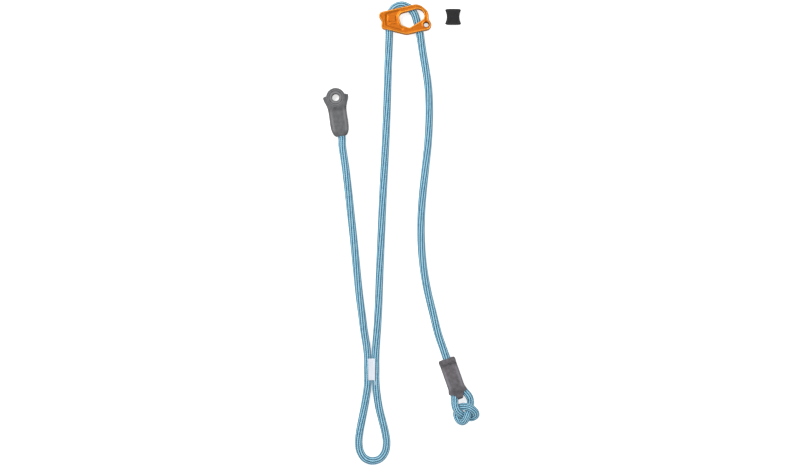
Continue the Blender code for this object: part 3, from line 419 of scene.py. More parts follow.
def surface_mesh(name: str, grid: Array, capped: bool, uv: Array | None = None) -> Mesh:
    """A closed mesh of quads over a grid of points, whose columns close on themselves.

    The columns are turned round where needed, so that the faces look outwards.

    Args:
        name: The mesh's name.
        grid: Points in rows and columns, (rows, columns, 3).
        capped: Whether flat faces close the first and last rows. Otherwise the last row joins the first.
        uv: A UV pair for each row and each of columns + 1 corners, (rows, columns + 1, 2).

    Returns:
        The mesh, smoothly shaded.
    """
    if encloses(grid, capped) < 0:
        grid = np.roll(grid[:, ::-1], 1, axis=1)
        uv = None if uv is None else uv[:, ::-1]
    rows, columns = grid.shape[:2]
    r = np.arange(rows - 1 if capped else rows)[:, None]
    c = np.arange(columns)[None, :]
    r_next, c_next = (r + 1) % rows, (c + 1) % columns
    corners = [(r, c, c), (r, c_next, c + 1), (r_next, c_next, c + 1), (r_next, c, c)]
    quads = np.stack([row * columns + column for row, column, _ in corners], axis=-1).reshape(-1, 4)
    ends = [np.arange(columns)[::-1], np.arange(columns) + (rows - 1) * columns] if capped else []
    loops = np.concatenate([quads.ravel(), *ends]).astype(np.int32)
    sizes = np.array([4] * len(quads) + [columns] * len(ends), dtype=np.int32)
    mesh = bpy.data.meshes.new(name)
    mesh.vertices.add(rows * columns)
    mesh.vertices.foreach_set("co", grid.reshape(-1).astype(np.float32))
    mesh.loops.add(len(loops))
    mesh.loops.foreach_set("vertex_index", loops)
    mesh.polygons.add(len(sizes))
    mesh.polygons.foreach_set("loop_start", (np.cumsum(sizes) - sizes).astype(np.int32))
    mesh.update(calc_edges=True)
    mesh.validate()
    mesh.polygons.foreach_set("use_smooth", sizes == 4)
    if capped:
        crease(mesh, 70)
    if uv is not None:
        layer = mesh.uv_layers.new(name="Lay")
        flat = np.zeros((len(loops), 2), dtype=np.float32)
        picked = [uv[row, corner] for row, _, corner in corners]
        flat[: 4 * len(quads)] = np.stack(picked, axis=2).reshape(-1, 2)
        layer.data.foreach_set("uv", flat.ravel())
    return mesh


def combine(base: Mesh, other: Mesh, how: Join) -> Mesh:
    """One closed mesh added to another or cut out of it.

    Args:
        base: The mesh that is kept or cut.
        other: The mesh that is added or that cuts.
        how: Which of the two.

    Returns:
        The combined mesh. Both given meshes are removed.
    """
    objects = [bpy.data.objects.new(mesh.name, mesh) for mesh in (base, other)]
    for obj in objects:
        bpy.context.scene.collection.objects.link(obj)
    boolean = objects[0].modifiers.new("combine", "BOOLEAN")
    boolean.solver = "EXACT"
    boolean.operation = how.value
    boolean.object = objects[1]
    evaluated = objects[0].evaluated_get(bpy.context.evaluated_depsgraph_get())
    result = bpy.data.meshes.new_from_object(evaluated)
    name = base.name
    for obj, mesh in zip(objects, (base, other)):
        bpy.data.objects.remove(obj)
        bpy.data.meshes.remove(mesh)
    result.name = name
    return result


def vertex_places(mesh: Mesh) -> Array:
    """The mesh's points, one a row.

    Args:
        mesh: Any mesh.

    Returns:
        Its points' coordinates.
    """
    places = np.empty(len(mesh.vertices) * 3, dtype=np.float32)
    mesh.vertices.foreach_get("co", places)
    return places.reshape(-1, 3).astype(float)


def mark(mesh: Mesh, name: str, values: Array) -> None:
    """Stores a number for each point, which a material reads as an attribute."""
    layer = mesh.attributes.new(name, "FLOAT", "POINT")
    layer.data.foreach_set("value", values.astype(np.float32))


def add_piece(
    name: str, mesh: Mesh, material: Material, slot: Slot, body: str | None, *nodes: str
) -> bpy.types.Object:
    """Puts a mesh into the scene as a piece with its finish.

    Args:
        name: The piece's name.
        mesh: Its mesh, in the part's frame.
        material: Its material.
        slot: The record's slot for it. Not used.
        body: The body that it rides, or none, and then it is not attached.
        nodes: The CAD nodes that it stands in for.

    Returns:
        The new object.
    """
    obj = bpy.data.objects.new(name, mesh)
    bpy.context.scene.collection.objects.link(obj)
    mesh.materials.clear()
    mesh.materials.append(material)
    for node in nodes:
        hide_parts(node)
    if body:
        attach(obj, body)
    LOG.info("%s: %d faces", name, len(mesh.polygons))
    return obj


def ring_directions(centres: Array, sides: int) -> tuple[Array, Array]:
    """The directions out of a line, level at the first side and upright a quarter turn on.

    Args:
        centres: Points of the line, nowhere upright.
        sides: How many directions each point gets.

    Returns:
        The directions, (points, sides, 3), and the sides' places in turns.
    """
    tangent = np.gradient(centres, axis=0)
    tangent /= np.linalg.norm(tangent, axis=1)[:, None]
    side = np.cross(tangent, (0.0, 0.0, 1.0))
    side /= np.linalg.norm(side, axis=1)[:, None]
    up = np.cross(side, tangent)
    turns = np.arange(sides) / sides
    angle = turns[None, :, None] * TAU
    return side[:, None] * np.cos(angle) + up[:, None] * np.sin(angle), turns


def round_tube(name: str, centres: Array, radius: float, sides: int = 24) -> Mesh:
    """A closed plain tube round a line, for threads and for the hollows that a rope runs in."""
    outwards, _ = ring_directions(centres, sides)
    return surface_mesh(name, centres[:, None] + outwards * radius, capped=True)


def eased(corners: Sequence, radius: float, steps: int = 4, closed: bool = True) -> Array:
    """A profile whose corners are rounded by a parabola each.

    Args:
        corners: The profile's corners as pairs, in metres.
        radius: How far from a corner its rounding starts, at most 0.45 of a side.
        steps: How many points each rounding gets, less one.
        closed: Whether the profile closes on itself. Otherwise its two end points stay as they are.

    Returns:
        The rounded profile's points.
    """
    p = np.array(corners)
    before, after = np.roll(p, 1, axis=0) - p, np.roll(p, -1, axis=0) - p
    size = [np.linalg.norm(way, axis=1)[:, None] for way in (before, after)]
    a, b = (p + way * np.minimum(radius / s, 0.45) for way, s in zip((before, after), size))
    t = np.linspace(0, 1, steps + 1)[None, :, None]
    rounds = (1 - t) ** 2 * a[:, None] + 2 * t * (1 - t) * p[:, None] + t**2 * b[:, None]
    if closed:
        return rounds.reshape(-1, 2)
    return np.vstack([p[:1], rounds[1:-1].reshape(-1, 2), p[-1:]])


def turned(
    name: str, centre: tuple[float, float], profile: Array, capped: bool, place: Place = PART, sides: int = 96
) -> Mesh:
    """The surface that a profile of radii and heights sweeps when it turns about an upright line.

    Args:
        name: The mesh's name.
        centre: Where the line stands, in millimetres.
        profile: Pairs of a radius and a height, in metres.
        capped: Whether the profile's ends are closed by flat discs. Otherwise the profile is a closed line.
        place: The frame that the centre is in.
        sides: How many steps the turn has.

    Returns:
        The mesh, with creases where its faces meet at more than 35 degrees.
    """
    angle = np.arange(sides) / sides * TAU
    ways = np.stack([np.cos(angle), np.sin(angle), np.zeros(sides)], axis=1)
    middle = in_metres([*centre, 0.0])
    grid = middle + profile[:, None, :1] * ways + profile[:, None, 1:] * np.array([0.0, 0.0, 1.0])
    mesh = surface_mesh(name, place.to_part(grid), capped)
    crease(mesh, 35)
    return mesh


class Nodes:
    """A short way to write a node tree: each call adds one node and links its inputs."""

    def __init__(self, tree: bpy.types.NodeTree) -> None:
        """Keeps the tree that the nodes go into."""
        self.tree = tree

    def feed(self, node: bpy.types.Node, inputs: dict) -> None:
        """Links sockets to a node's inputs and writes constants on them.

        Args:
            node: The node.
            inputs: Values or sockets for its inputs, by name or number.
        """
        for key, value in inputs.items():
            if isinstance(value, Socket):
                self.tree.links.new(value, node.inputs[key])
            else:
                node.inputs[key].default_value = value

    def add(self, kind: str, inputs: dict | None = None, **settings: object) -> bpy.types.Node:
        """Adds a node.

        Args:
            kind: The node's type name without its ShaderNode prefix.
            inputs: Values or sockets for its inputs, by name or number.
            settings: The node's own settings.

        Returns:
            The node.
        """
        node = self.tree.nodes.new("ShaderNode" + kind)
        for key, value in settings.items():
            setattr(node, key, value)
        self.feed(node, inputs or {})
        return node

    def math(self, operation: str, *values: object, clamp: bool = False) -> Socket:
        """The result of a Math node on values or sockets."""
        return self.add("Math", dict(enumerate(values)), operation=operation, use_clamp=clamp).outputs[0]

    def times(self, value: object, factor: object) -> Socket:
        """A value times a factor."""
        return self.math("MULTIPLY", value, factor)

    def plus(self, value: object, more: object) -> Socket:
        """The sum of two values."""
        return self.math("ADD", value, more)

    def less(self, value: object, taken: object) -> Socket:
        """A value less another."""
        return self.math("SUBTRACT", value, taken)

    def ramp(self, value: object, low: float, high: float) -> Socket:
        """0 where value is at low, 1 where it is at high, clamped between them."""
        return self.add("MapRange", {"Value": value, "From Min": low, "From Max": high}).outputs[0]

    def layered(self, colour: object, *coats: tuple[object, object, float]) -> Socket:
        """A colour with coats of others over it.

        Args:
            colour: The lowest colour.
            coats: Each coat's colour, the mask that it shows by, and how strongly it shows at most.

        Returns:
            The colour that shows at last.
        """
        for coat, mask, strength in coats:
            inputs = {0: self.times(mask, strength), 6: colour, 7: coat}
            colour = self.add("Mix", inputs, data_type="RGBA").outputs[2]
        return colour

    def attribute(self, name: str) -> Socket:
        """The number that the mesh stores for each point under a name."""
        return self.add("Attribute", attribute_name=name).outputs["Fac"]

    def turned_away(self, low: float, high: float) -> Socket:
        """A mask of where the surface turns away from the eye, between two shares."""
        return self.ramp(self.add("LayerWeight").outputs["Facing"], low, high)

    def noise(self, vector: Socket, scale: object, detail: float = 2.0) -> Socket:
        """Fractal noise about a half, per metre."""
        return self.add("TexNoise", {"Vector": vector, "Scale": scale, "Detail": detail}).outputs[0]

    def mapped(self, vector: Socket, scale: tuple[float, float, float], turn: float = 0.0) -> Socket:
        """A vector scaled along each axis and turned about Z."""
        inputs = {"Vector": vector, "Rotation": (0.0, 0.0, turn), "Scale": scale}
        return self.add("Mapping", inputs).outputs[0]

    def bump(self, height: Socket, distance: float, strength: float = 1.0) -> Socket:
        """A normal bent by a height."""
        return self.add("Bump", {"Height": height, "Distance": distance, "Strength": strength}).outputs[0]

    def give(self, outputs: dict[str, Socket]) -> bpy.types.NodeTree:
        """Ends a node group: makes its outputs, which are all numbers, and links them.

        Args:
            outputs: The socket for each output, by name.

        Returns:
            The group.
        """
        for label in outputs:
            self.tree.interface.new_socket(name=label, in_out="OUTPUT", socket_type="NodeSocketFloat")
        self.feed(self.tree.nodes.new("NodeGroupOutput"), outputs)
        return self.tree


def new_material(name: str) -> tuple[Material, Nodes, bpy.types.Node]:
    """Starts a material.

    Args:
        name: The material's name.

    Returns:
        The material, its nodes and its shader.
    """
    material = bpy.data.materials.new(name)
    material.use_nodes = True
    return material, Nodes(material.node_tree), material.node_tree.nodes["Principled BSDF"]


def new_group(name: str, *inputs: str) -> tuple[Nodes, bpy.types.Node]:
    """Starts a node group.

    Args:
        name: The group's name.
        inputs: The names of its inputs, which are all numbers.

    Returns:
        Its nodes, and the node that its inputs come out of.
    """
    tree = bpy.data.node_groups.new(name, "ShaderNodeTree")
    for label in inputs:
        tree.interface.new_socket(name=label, in_out="INPUT", socket_type="NodeSocketFloat")
    return Nodes(tree), tree.nodes.new("NodeGroupInput")


def surface_grain() -> bpy.types.NodeTree:
    """The node group of surface grain that the metals and the moulded pieces share.

    Clouds is a broad change of tone, Specks a fine grain and Scratches a mask of thin marks, all read in
    object coordinates at the scales given.

    Returns:
        The group, which is built by the first call.
    """
    name = "surface grain"
    if name in bpy.data.node_groups:
        return bpy.data.node_groups[name]
    nodes, given = new_group(name, "Cloud Scale", "Speck Scale")
    place = nodes.add("TexCoord").outputs["Object"]
    lines = nodes.noise(nodes.mapped(place, (1.0, 16.0, 1.0), 0.6), 380.0, 4.0)
    return nodes.give(
        {
            "Clouds": nodes.noise(place, given.outputs["Cloud Scale"], 3.0),
            "Specks": nodes.noise(place, given.outputs["Speck Scale"], 2.0),
            "Scratches": nodes.ramp(lines, 0.66, 0.74),
        }
    )


@dataclass(frozen=True)
class Braid:
    """The rope's braided sheath: columns of slanted picks, leaning left and right in turn.

    The columns wind round the rope by the twist, in turns a metre. A pick is an ellipse. Its falls say how
    steeply it ends at its sides and at its ends, and its colour reaches a little further than its relief.
    """

    columns: int = 20
    pick: float = 2.3 * MM
    lean: float = 0.5
    twist: float = 1.4
    relief: float = 0.24 * MM
    bedding: float = 0.6
    shoulder: float = 0.35
    relief_falls: tuple[float, float] = (1.85, 2.1)
    colour_falls: tuple[float, float] = (1.7, 2.0)
    dark_valley: float = 0.8
    yarns: int = 9
    yarn_slant: float = 0.25

    def height(self, along: Array, turns: Array) -> Array:
        """How far the picks stand out of the rope's radius.

        In a column, x runs from -1/2 to 1/2 across it, and the picks follow each other along the rope,
        shifted by x times the lean. A pick is highest at its middle and falls off to its four sides. A
        share of the relief, the bedding, lies under the radius.

        Args:
            along: Distances along the rope.
            turns: Places round the rope, 1 for a whole turn.

        Returns:
            Heights above the radius.
        """
        across = (turns + self.twist * along) * self.columns
        column = np.floor(across)
        x = across - column - 0.5
        sign = 1 - 2 * (column % 2)
        phase = along / self.pick + sign * x * self.lean + 0.5 * (column % 2)
        t = phase - np.floor(phase) - 0.5
        over, ahead = (dome(fall * way) for fall, way in zip(self.relief_falls, (x, t)))
        return self.relief * (over * (self.shoulder + (1 - self.shoulder) * ahead) - self.bedding)

    def group(self) -> bpy.types.NodeTree:
        """The same picks as a node group that reads the UV map Lay.

        Its U is the distance along the rope in picks, and its V the turns round it with the twist. Dark is
        1 inside the picks of every second column; Valley is 1 between picks and less in those columns, and
        masks the painted shade there; Yarn is the fine lines of the fibres and Pick is a number for each
        pick.

        Returns:
            The group.
        """
        nodes, _ = new_group("braided sheath")
        lay = nodes.add("SeparateXYZ", {0: nodes.add("UVMap", uv_map="Lay").outputs[0]})
        across = nodes.times(lay.outputs[1], self.columns)
        column = nodes.math("FLOOR", across)
        x = nodes.less(nodes.less(across, column), 0.5)
        odd = nodes.math("FLOORED_MODULO", column, 2.0)
        lean = nodes.times(nodes.times(nodes.less(1.0, nodes.times(odd, 2.0)), x), self.lean)
        phase = nodes.plus(nodes.plus(lay.outputs[0], nodes.times(odd, 0.5)), lean)
        number = nodes.math("FLOOR", phase)
        t = nodes.less(nodes.less(phase, number), 0.5)
        side, end = (
            nodes.math("POWER", nodes.times(nodes.math("ABSOLUTE", way), fall), 2.0)
            for fall, way in zip(self.colour_falls, (x, t))
        )
        from_middle = nodes.plus(side, end)
        strands = nodes.times(nodes.plus(x, nodes.times(t, self.yarn_slant)), self.yarns * TAU)
        place = nodes.add("CombineXYZ", {0: nodes.math("FLOORED_MODULO", column, self.columns), 1: number})
        between = nodes.ramp(from_middle, 0.8, 1.5)
        return nodes.give(
            {
                "Dark": nodes.times(odd, nodes.less(1.0, nodes.ramp(from_middle, 0.8, 1.15))),
                "Valley": nodes.times(between, nodes.less(1.0, nodes.times(odd, 1 - self.dark_valley))),
                "Yarn": nodes.plus(nodes.times(nodes.math("SINE", strands), 0.5), 0.5),
                "Pick": nodes.add("TexWhiteNoise", {"Vector": place.outputs[0]}).outputs[0],
            }
        )


@dataclass(frozen=True)
class RopeFinish:
    """Two-tone polyamide sheath: light blue columns of picks beside columns flecked with dark blue."""

    light: Colour = (0.38, 0.78, 0.98, 1.0)
    dark: Colour = (0.002, 0.036, 0.095, 1.0)
    # The shade colour also paints shade in the valleys, and the pale colour a sheen at turned-away edges
    shade: Colour = (0.018, 0.12, 0.22, 1.0)
    pale: Colour = (0.48, 0.76, 0.88, 1.0)
    braid: Braid = field(default_factory=Braid)

    def material(self) -> Material:
        """Builds the rope's material: paler and duller picks, yarns, dark flecks, painted shade in the
        valleys and a painted sheen at the edges.

        Returns:
            The material.
        """
        material, nodes, shader = new_material("kernmantle rope")
        sheath = nodes.add("Group", node_tree=self.braid.group()).outputs
        colour = nodes.layered(
            self.light,
            (self.pale, nodes.ramp(sheath["Pick"], 0.55, 1.0), 0.5),
            (self.shade, nodes.ramp(sheath["Pick"], 0.35, 0.0), 0.28),
            (self.shade, sheath["Yarn"], 0.12),
            # Painted shade in the valleys between picks, over the darker yarn that shows there
            (self.shade, sheath["Valley"], 0.9),
            (self.dark, sheath["Dark"], 0.97),
            # Painted sheen: paler where the rope turns away from the eye
            (self.pale, nodes.turned_away(0.45, 1.0), 0.45),
        )
        normal = nodes.bump(sheath["Yarn"], 0.03 * MM, 0.5)
        look = {"Base Color": colour, "Normal": normal, "Roughness": 0.75, "Sheen Weight": 0.2}
        nodes.feed(shader, {**look, "Sheen Roughness": 0.4})
        return material


@dataclass(frozen=True)
class MetalFinish:
    """A metal surface: clouded tone, fine scratches, and painted shade where it turns away from the eye."""

    name: str
    body: Colour
    # The second colour also paints the highlight on rims, and the third paints shade where the surface turns
    # from the eye
    rim: Colour
    edge_shade: Colour
    metallic: float = 0.95
    roughness: float = 0.38

    def material(self) -> Material:
        """Builds the metal's material, with a painted highlight where the piece carries the attribute Rim.

        Returns:
            The material.
        """
        material, nodes, shader = new_material(self.name)
        scales = {"Cloud Scale": 160.0, "Speck Scale": 2600.0}
        grain = nodes.add("Group", scales, node_tree=surface_grain()).outputs
        clouds = nodes.ramp(grain["Clouds"], 0.3, 0.7)
        colour = nodes.layered(
            self.body,
            # Painted highlight where the mesh carries the attribute Rim
            (self.rim, nodes.attribute("Rim"), 1.0),
            (self.rim, clouds, 0.14),
            (self.rim, grain["Scratches"], 0.10),
            # Painted shade where the surface turns away from the eye
            (self.edge_shade, nodes.turned_away(0.35, 0.95), 0.85),
        )
        height = nodes.plus(grain["Specks"], nodes.times(grain["Scratches"], -0.6))
        look = {"Base Color": colour, "Metallic": self.metallic, "Normal": nodes.bump(height, 0.03 * MM, 0.5)}
        nodes.feed(shader, {**look, "Roughness": nodes.plus(nodes.times(clouds, 0.10), self.roughness)})
        return material


@dataclass(frozen=True)
class MouldedFinish:
    """A moulded elastomer: matt, finely grained and slightly mottled."""

    name: str
    body: Colour
    # The light colour also paints the highlight by Rim; the dark colour paints shade at turned-away edges and
    # darkens by Shade
    light: Colour
    dark: Colour
    roughness: float = 0.62
    gloss: float = 0.3

    def material(self) -> Material:
        """Builds the moulding's material, with painted highlight by the attribute Rim and darker by the
        attribute Shade.

        Returns:
            The material.
        """
        material, nodes, shader = new_material(self.name)
        scales = {"Cloud Scale": 240.0, "Speck Scale": 3600.0}
        grain = nodes.add("Group", scales, node_tree=surface_grain()).outputs
        clouds = nodes.ramp(grain["Clouds"], 0.32, 0.68)
        colour = nodes.layered(
            self.body,
            # Painted highlight by the attribute Rim, and darkening by the attribute Shade
            (self.light, nodes.attribute("Rim"), 0.6),
            (self.dark, nodes.attribute("Shade"), 0.62),
            (self.light, clouds, 0.32),
            (self.dark, nodes.ramp(grain["Specks"], 0.35, 0.65), 0.3),
            (self.light, grain["Scratches"], 0.22),
            # Painted shade where the surface turns away from the eye
            (self.dark, nodes.turned_away(0.3, 1.0), 0.55),
        )
        normal = nodes.bump(grain["Specks"], 0.06 * MM, 0.6)
        look = {"Base Color": colour, "Specular IOR Level": self.gloss, "Normal": normal}
        nodes.feed(shader, {**look, "Roughness": nodes.plus(nodes.times(clouds, 0.12), self.roughness)})
        return material


@dataclass(frozen=True)
class ThreadFinish:
    """White sewn polyester thread, with the fine twist of its plies."""

    white: Colour = (0.84, 0.88, 0.94, 1.0)
    shade: Colour = (0.50, 0.54, 0.68, 1.0)

    def material(self) -> Material:
        """Builds the thread's material, with painted shade where the piece carries the attribute Gap.

        Returns:
            The material.
        """
        material, nodes, shader = new_material("sewn thread")
        place = nodes.add("TexCoord").outputs["Object"]
        plies = nodes.noise(nodes.mapped(place, (1.0, 2.5, 1.0)), 2600.0, 3.0)
        fluff = nodes.times(nodes.noise(place, 420.0, 3.0), 0.14)
        # Painted shade between the threads by the attribute Gap, with random fluff
        dusky = nodes.math("ADD", nodes.times(nodes.attribute("Gap"), 0.7), fluff, clamp=True)
        coats = ((self.shade, nodes.ramp(plies, 0.35, 0.65), 0.12), (self.shade, dusky, 1.0))
        look = {"Base Color": nodes.layered(self.white, *coats), "Normal": nodes.bump(plies, 0.05 * MM, 0.7)}
        nodes.feed(shader, {**look, "Roughness": 0.7, "Sheen Weight": 0.3})
        return material


ANODISING = MetalFinish(
    "orange anodising", (0.51, 0.122, 0.005, 1), (0.82, 0.30, 0.035, 1), (0.09, 0.025, 0.002, 1), 0.88
)
POLISHED_METAL = MetalFinish(
    "rope-polished metal", (0.52, 0.53, 0.55, 1), (0.7, 0.7, 0.72, 1), (0.2, 0.2, 0.21, 1), roughness=0.25
)
PLAIN_STEEL = MetalFinish(
    "plain steel", (0.5, 0.5, 0.52, 1), (0.66, 0.66, 0.68, 1), (0.2, 0.2, 0.21, 1), roughness=0.33
)
GREY_ELASTOMER = MouldedFinish(
    "grey elastomer", (0.125, 0.127, 0.135, 1), (0.31, 0.31, 0.32, 1), (0.030, 0.031, 0.034, 1)
)
WARM_GREY_ELASTOMER = MouldedFinish(
    "warm grey elastomer", (0.125, 0.115, 0.122, 1), (0.34, 0.32, 0.37, 1), (0.034, 0.031, 0.031, 1)
)
BLACK_ELASTOMER = MouldedFinish(
    "black elastomer", (0.016, 0.016, 0.0175, 1), (0.055, 0.055, 0.058, 1), (0.003, 0.003, 0.0035, 1),
    roughness=0.55, gloss=0.2,
)


@dataclass
class Finishes:
    """The materials that several sub-assemblies share, each built once."""

    thread: Material = field(default_factory=ThreadFinish().material)
    anodised: Material = field(default_factory=ANODISING.material)
    saddle: Material = field(default_factory=POLISHED_METAL.material)
    steel: Material = field(default_factory=PLAIN_STEEL.material)
    grey: Material = field(default_factory=GREY_ELASTOMER.material)
    warm_grey: Material = field(default_factory=WARM_GREY_ELASTOMER.material)
    black: Material = field(default_factory=BLACK_ELASTOMER.material)


@dataclass
class Stretch:
    """One stretch of the rope that shows as its own piece."""

    name: str
    start: float
    end: float
    body: str | None = None
    blend: tuple[str, str] | None = None


@dataclass
class Rope:
    """The whole rope between the two sleeves, and the braided sheath that its ends inside them share."""

    radius: float = 4.6 * MM
    ring_step: float = 0.45 * MM
    sides: int = 100
    fineness: int = 24
    clearance: float = 0.35 * MM
    finish: RopeFinish = field(default_factory=RopeFinish)
    line: Array = field(init=False)
    marks: list[float] = field(init=False)
    paint: Material = field(init=False)

    def __post_init__(self) -> None:
        """Works out the smooth line through every route and the places where one stretch meets the next."""
        first = FIXED_EYE.to_part(in_metres(FIXED_MOUTH_ROUTE))
        last = TAIL_TOP.to_part(in_metres(TAIL_MOUTH_ROUTE))
        free = (FIXED_ARM_ROUTE, ARM_BEND_ROUTE, TIE_IN_ROUTE, MAIN_ARM_ROUTE, BIGHT_ROUTE, TAIL_ROUTE)
        self.line = smooth_line(np.vstack([first, *map(in_metres, free), last]), self.fineness)
        starts = np.cumsum([len(first), *map(len, free)])[1:-1]
        along = arc_lengths(self.line)
        self.marks = [0.0, *[float(along[start * self.fineness]) for start in starts], float(along[-1])]
        self.paint = self.finish.material()

    def sheath(self, name: str, centres: Array, along: Array, radii: Array | float) -> Mesh:
        """The braided tube round a line.

        A point is the line's own point plus the radius and the pick's height, along a direction that turns
        round the line from level to upright.

        Args:
            name: The mesh's name.
            centres: Points of the line.
            along: Their distances along the whole rope, which the braid reads.
            radii: The rope's radius, one for all or one for each ring and side.

        Returns:
            The tube's mesh.
        """
        outwards, turns = ring_directions(centres, self.sides)
        braid = self.finish.braid
        lift = braid.height(along[:, None], turns[None, :])
        grid = centres[:, None] + outwards * (radii + lift)[..., None]
        around = np.linspace(0, 1, self.sides + 1)[None, :] + braid.twist * along[:, None]
        uv = np.stack(np.broadcast_arrays(along[:, None] / braid.pick, around), axis=2)
        return surface_mesh(name, grid, capped=True, uv=uv)

    def mouth(self, place: Place, start: tuple[float, ...], end: tuple[float, ...]) -> Mesh:
        """The hollow that the rope runs through between two points of a sleeve's frame, in millimetres."""
        line = place.to_part(in_metres(np.linspace(start, end, 20)))
        return round_tube("mouth", line, self.radius + self.clearance, 96)

    def stretches(self) -> list[Stretch]:
        """Names the free stretches between the two sleeves, with the body or the two bodies of each.

        Returns:
            The stretches in their order along the rope.
        """
        names = (
            ("fixed_arm_rope", "fixed_arm", None),
            ("fixed_arm_bend", None, ("fixed_arm", "tie_in")),
            ("tie_in_loop_rope", "tie_in", None),
            ("main_arm_rope", None, ("tie_in", "adjuster_rope")),
            ("adjuster_bight_rope", "adjuster_rope", None),
            ("tail_rope", None, ("adjuster_rope", "tail_end")),
        )
        ends = zip(self.marks[:-1], self.marks[1:])
        return [Stretch(name, *span, body, blend) for (name, body, blend), span in zip(names, ends)]

    def build(self) -> None:
        for stretch in self.stretches():
            centres, along = evenly(self.line, self.ring_step, stretch.start, stretch.end)
            mesh = self.sheath(stretch.name, centres, along, self.radius)
            name = "sheath_" + stretch.name
            piece = add_piece(name, mesh, self.paint, Slot.ROPE, stretch.body, stretch.name)
            if stretch.blend:
                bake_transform(piece)
            if stretch.name != "adjuster_bight_rope":
                self.declare(piece, centres, 2 * self.radius)

    def declare(self, piece: bpy.types.Object, centres: Array, diameter: float) -> None:
        """Does nothing: the piece of free cord is left as it is.

        Args:
            piece: The piece. Not used.
            centres: Points of its middle line. Not used.
            diameter: The cord's diameter. Not used.
        """


@dataclass
class TailKnot:
    """The rope's end inside the tail sleeve, and the overhand knot that hangs out of it.

    The strand leaves the sleeve over the entry's distances from its start, and goes back in over the lap's
    from its end. Rings nearer along the rope than own_reach don't press on each other.
    """

    rope: Rope
    sewn_radius: float = 4.3 * MM
    free_radius: float = 4.55 * MM
    entry: tuple[float, float] = (38 * MM, 52 * MM)
    lap: tuple[float, float] = (22 * MM, 34 * MM)
    own_reach: float = 12 * MM
    slack: float = 0.03 * MM
    table_gap: float = 0.15 * MM
    flattening: float = 0.34
    tightest: float = 0.7
    bend_rings: int = 6
    far_step: int = 4
    passes: int = 4

    def radii(self, centres: Array, outwards: Array) -> Array:
        """The radius in each direction, pressed flat where the strand meets another one or the table.

        Along a direction n, a plane half way to a far point at way v is met at v.v / (2 n.v), so the strand
        ends there. On the outside of a bend, the strand is flattened by its radius over the bend's. The
        pressed radii are then averaged over neighbours, to round the pressed faces' rims.

        Args:
            centres: The strand's rings.
            outwards: The directions of each ring's sides.

        Returns:
            A radius for each ring and side.
        """
        along = arc_lengths(centres)
        out_of_sleeve = smooth_step(along, *self.entry) * smooth_step(along[-1] - along, *self.lap)
        wanted = self.sewn_radius + (self.free_radius - self.sewn_radius) * out_of_sleeve
        span = self.bend_rings
        padded = np.pad(centres, ((span, span), (0, 0)), mode="edge")
        bend = (padded[2 * span :] - 2 * centres + padded[: -2 * span]) / (span * self.rope.ring_step) ** 2
        outside = -np.einsum("rsk,rk->rs", outwards, bend) * wanted[:, None]
        flat = self.flattening * np.clip(outside, 0.0, self.tightest) * out_of_sleeve[:, None]
        way = centres[:: self.far_step][None] - centres[:, None]
        closing = np.einsum("rsk,rfk->rsf", outwards, way)
        half = 0.5 * (way**2).sum(axis=2)
        far = np.abs(along[:: self.far_step][None] - along[:, None]) > self.own_reach
        meets = far[:, None] & (closing > TINY)
        room = np.where(meets, half[:, None] / np.maximum(closing, TINY), np.inf).min(axis=2) - self.slack
        table = (centres[:, None, 2] - self.table_gap) / np.maximum(-outwards[..., 2], TINY)
        radii = np.minimum(np.minimum(wanted[:, None] * (1 - flat), room), table)
        for _ in range(self.passes):
            padded = np.pad(radii, ((1, 1), (0, 0)), mode="edge")
            radii = (padded[:-2] + 2 * radii + padded[2:]) / 4
            radii = (np.roll(radii, 1, axis=1) + 2 * radii + np.roll(radii, -1, axis=1)) / 4
        return radii

    def build(self) -> None:
        route = in_metres([*TAIL_ENTRY_ROUTE, *KNOT_ROUTE, *TAIL_LAP_ROUTE])
        centres, along = evenly(TAIL_TOP.to_part(smooth_line(route)), self.rope.ring_step)
        outwards, _ = ring_directions(centres, self.rope.sides)
        radii = self.radii(centres, outwards)
        name = "tail_knot_rope"
        mesh = self.rope.sheath(name, centres, along + self.rope.marks[-1], radii)
        piece = add_piece("sheath_" + name, mesh, self.rope.paint, Slot.ROPE, "tail_end", name)
        self.rope.declare(piece, centres, 2 * self.free_radius)


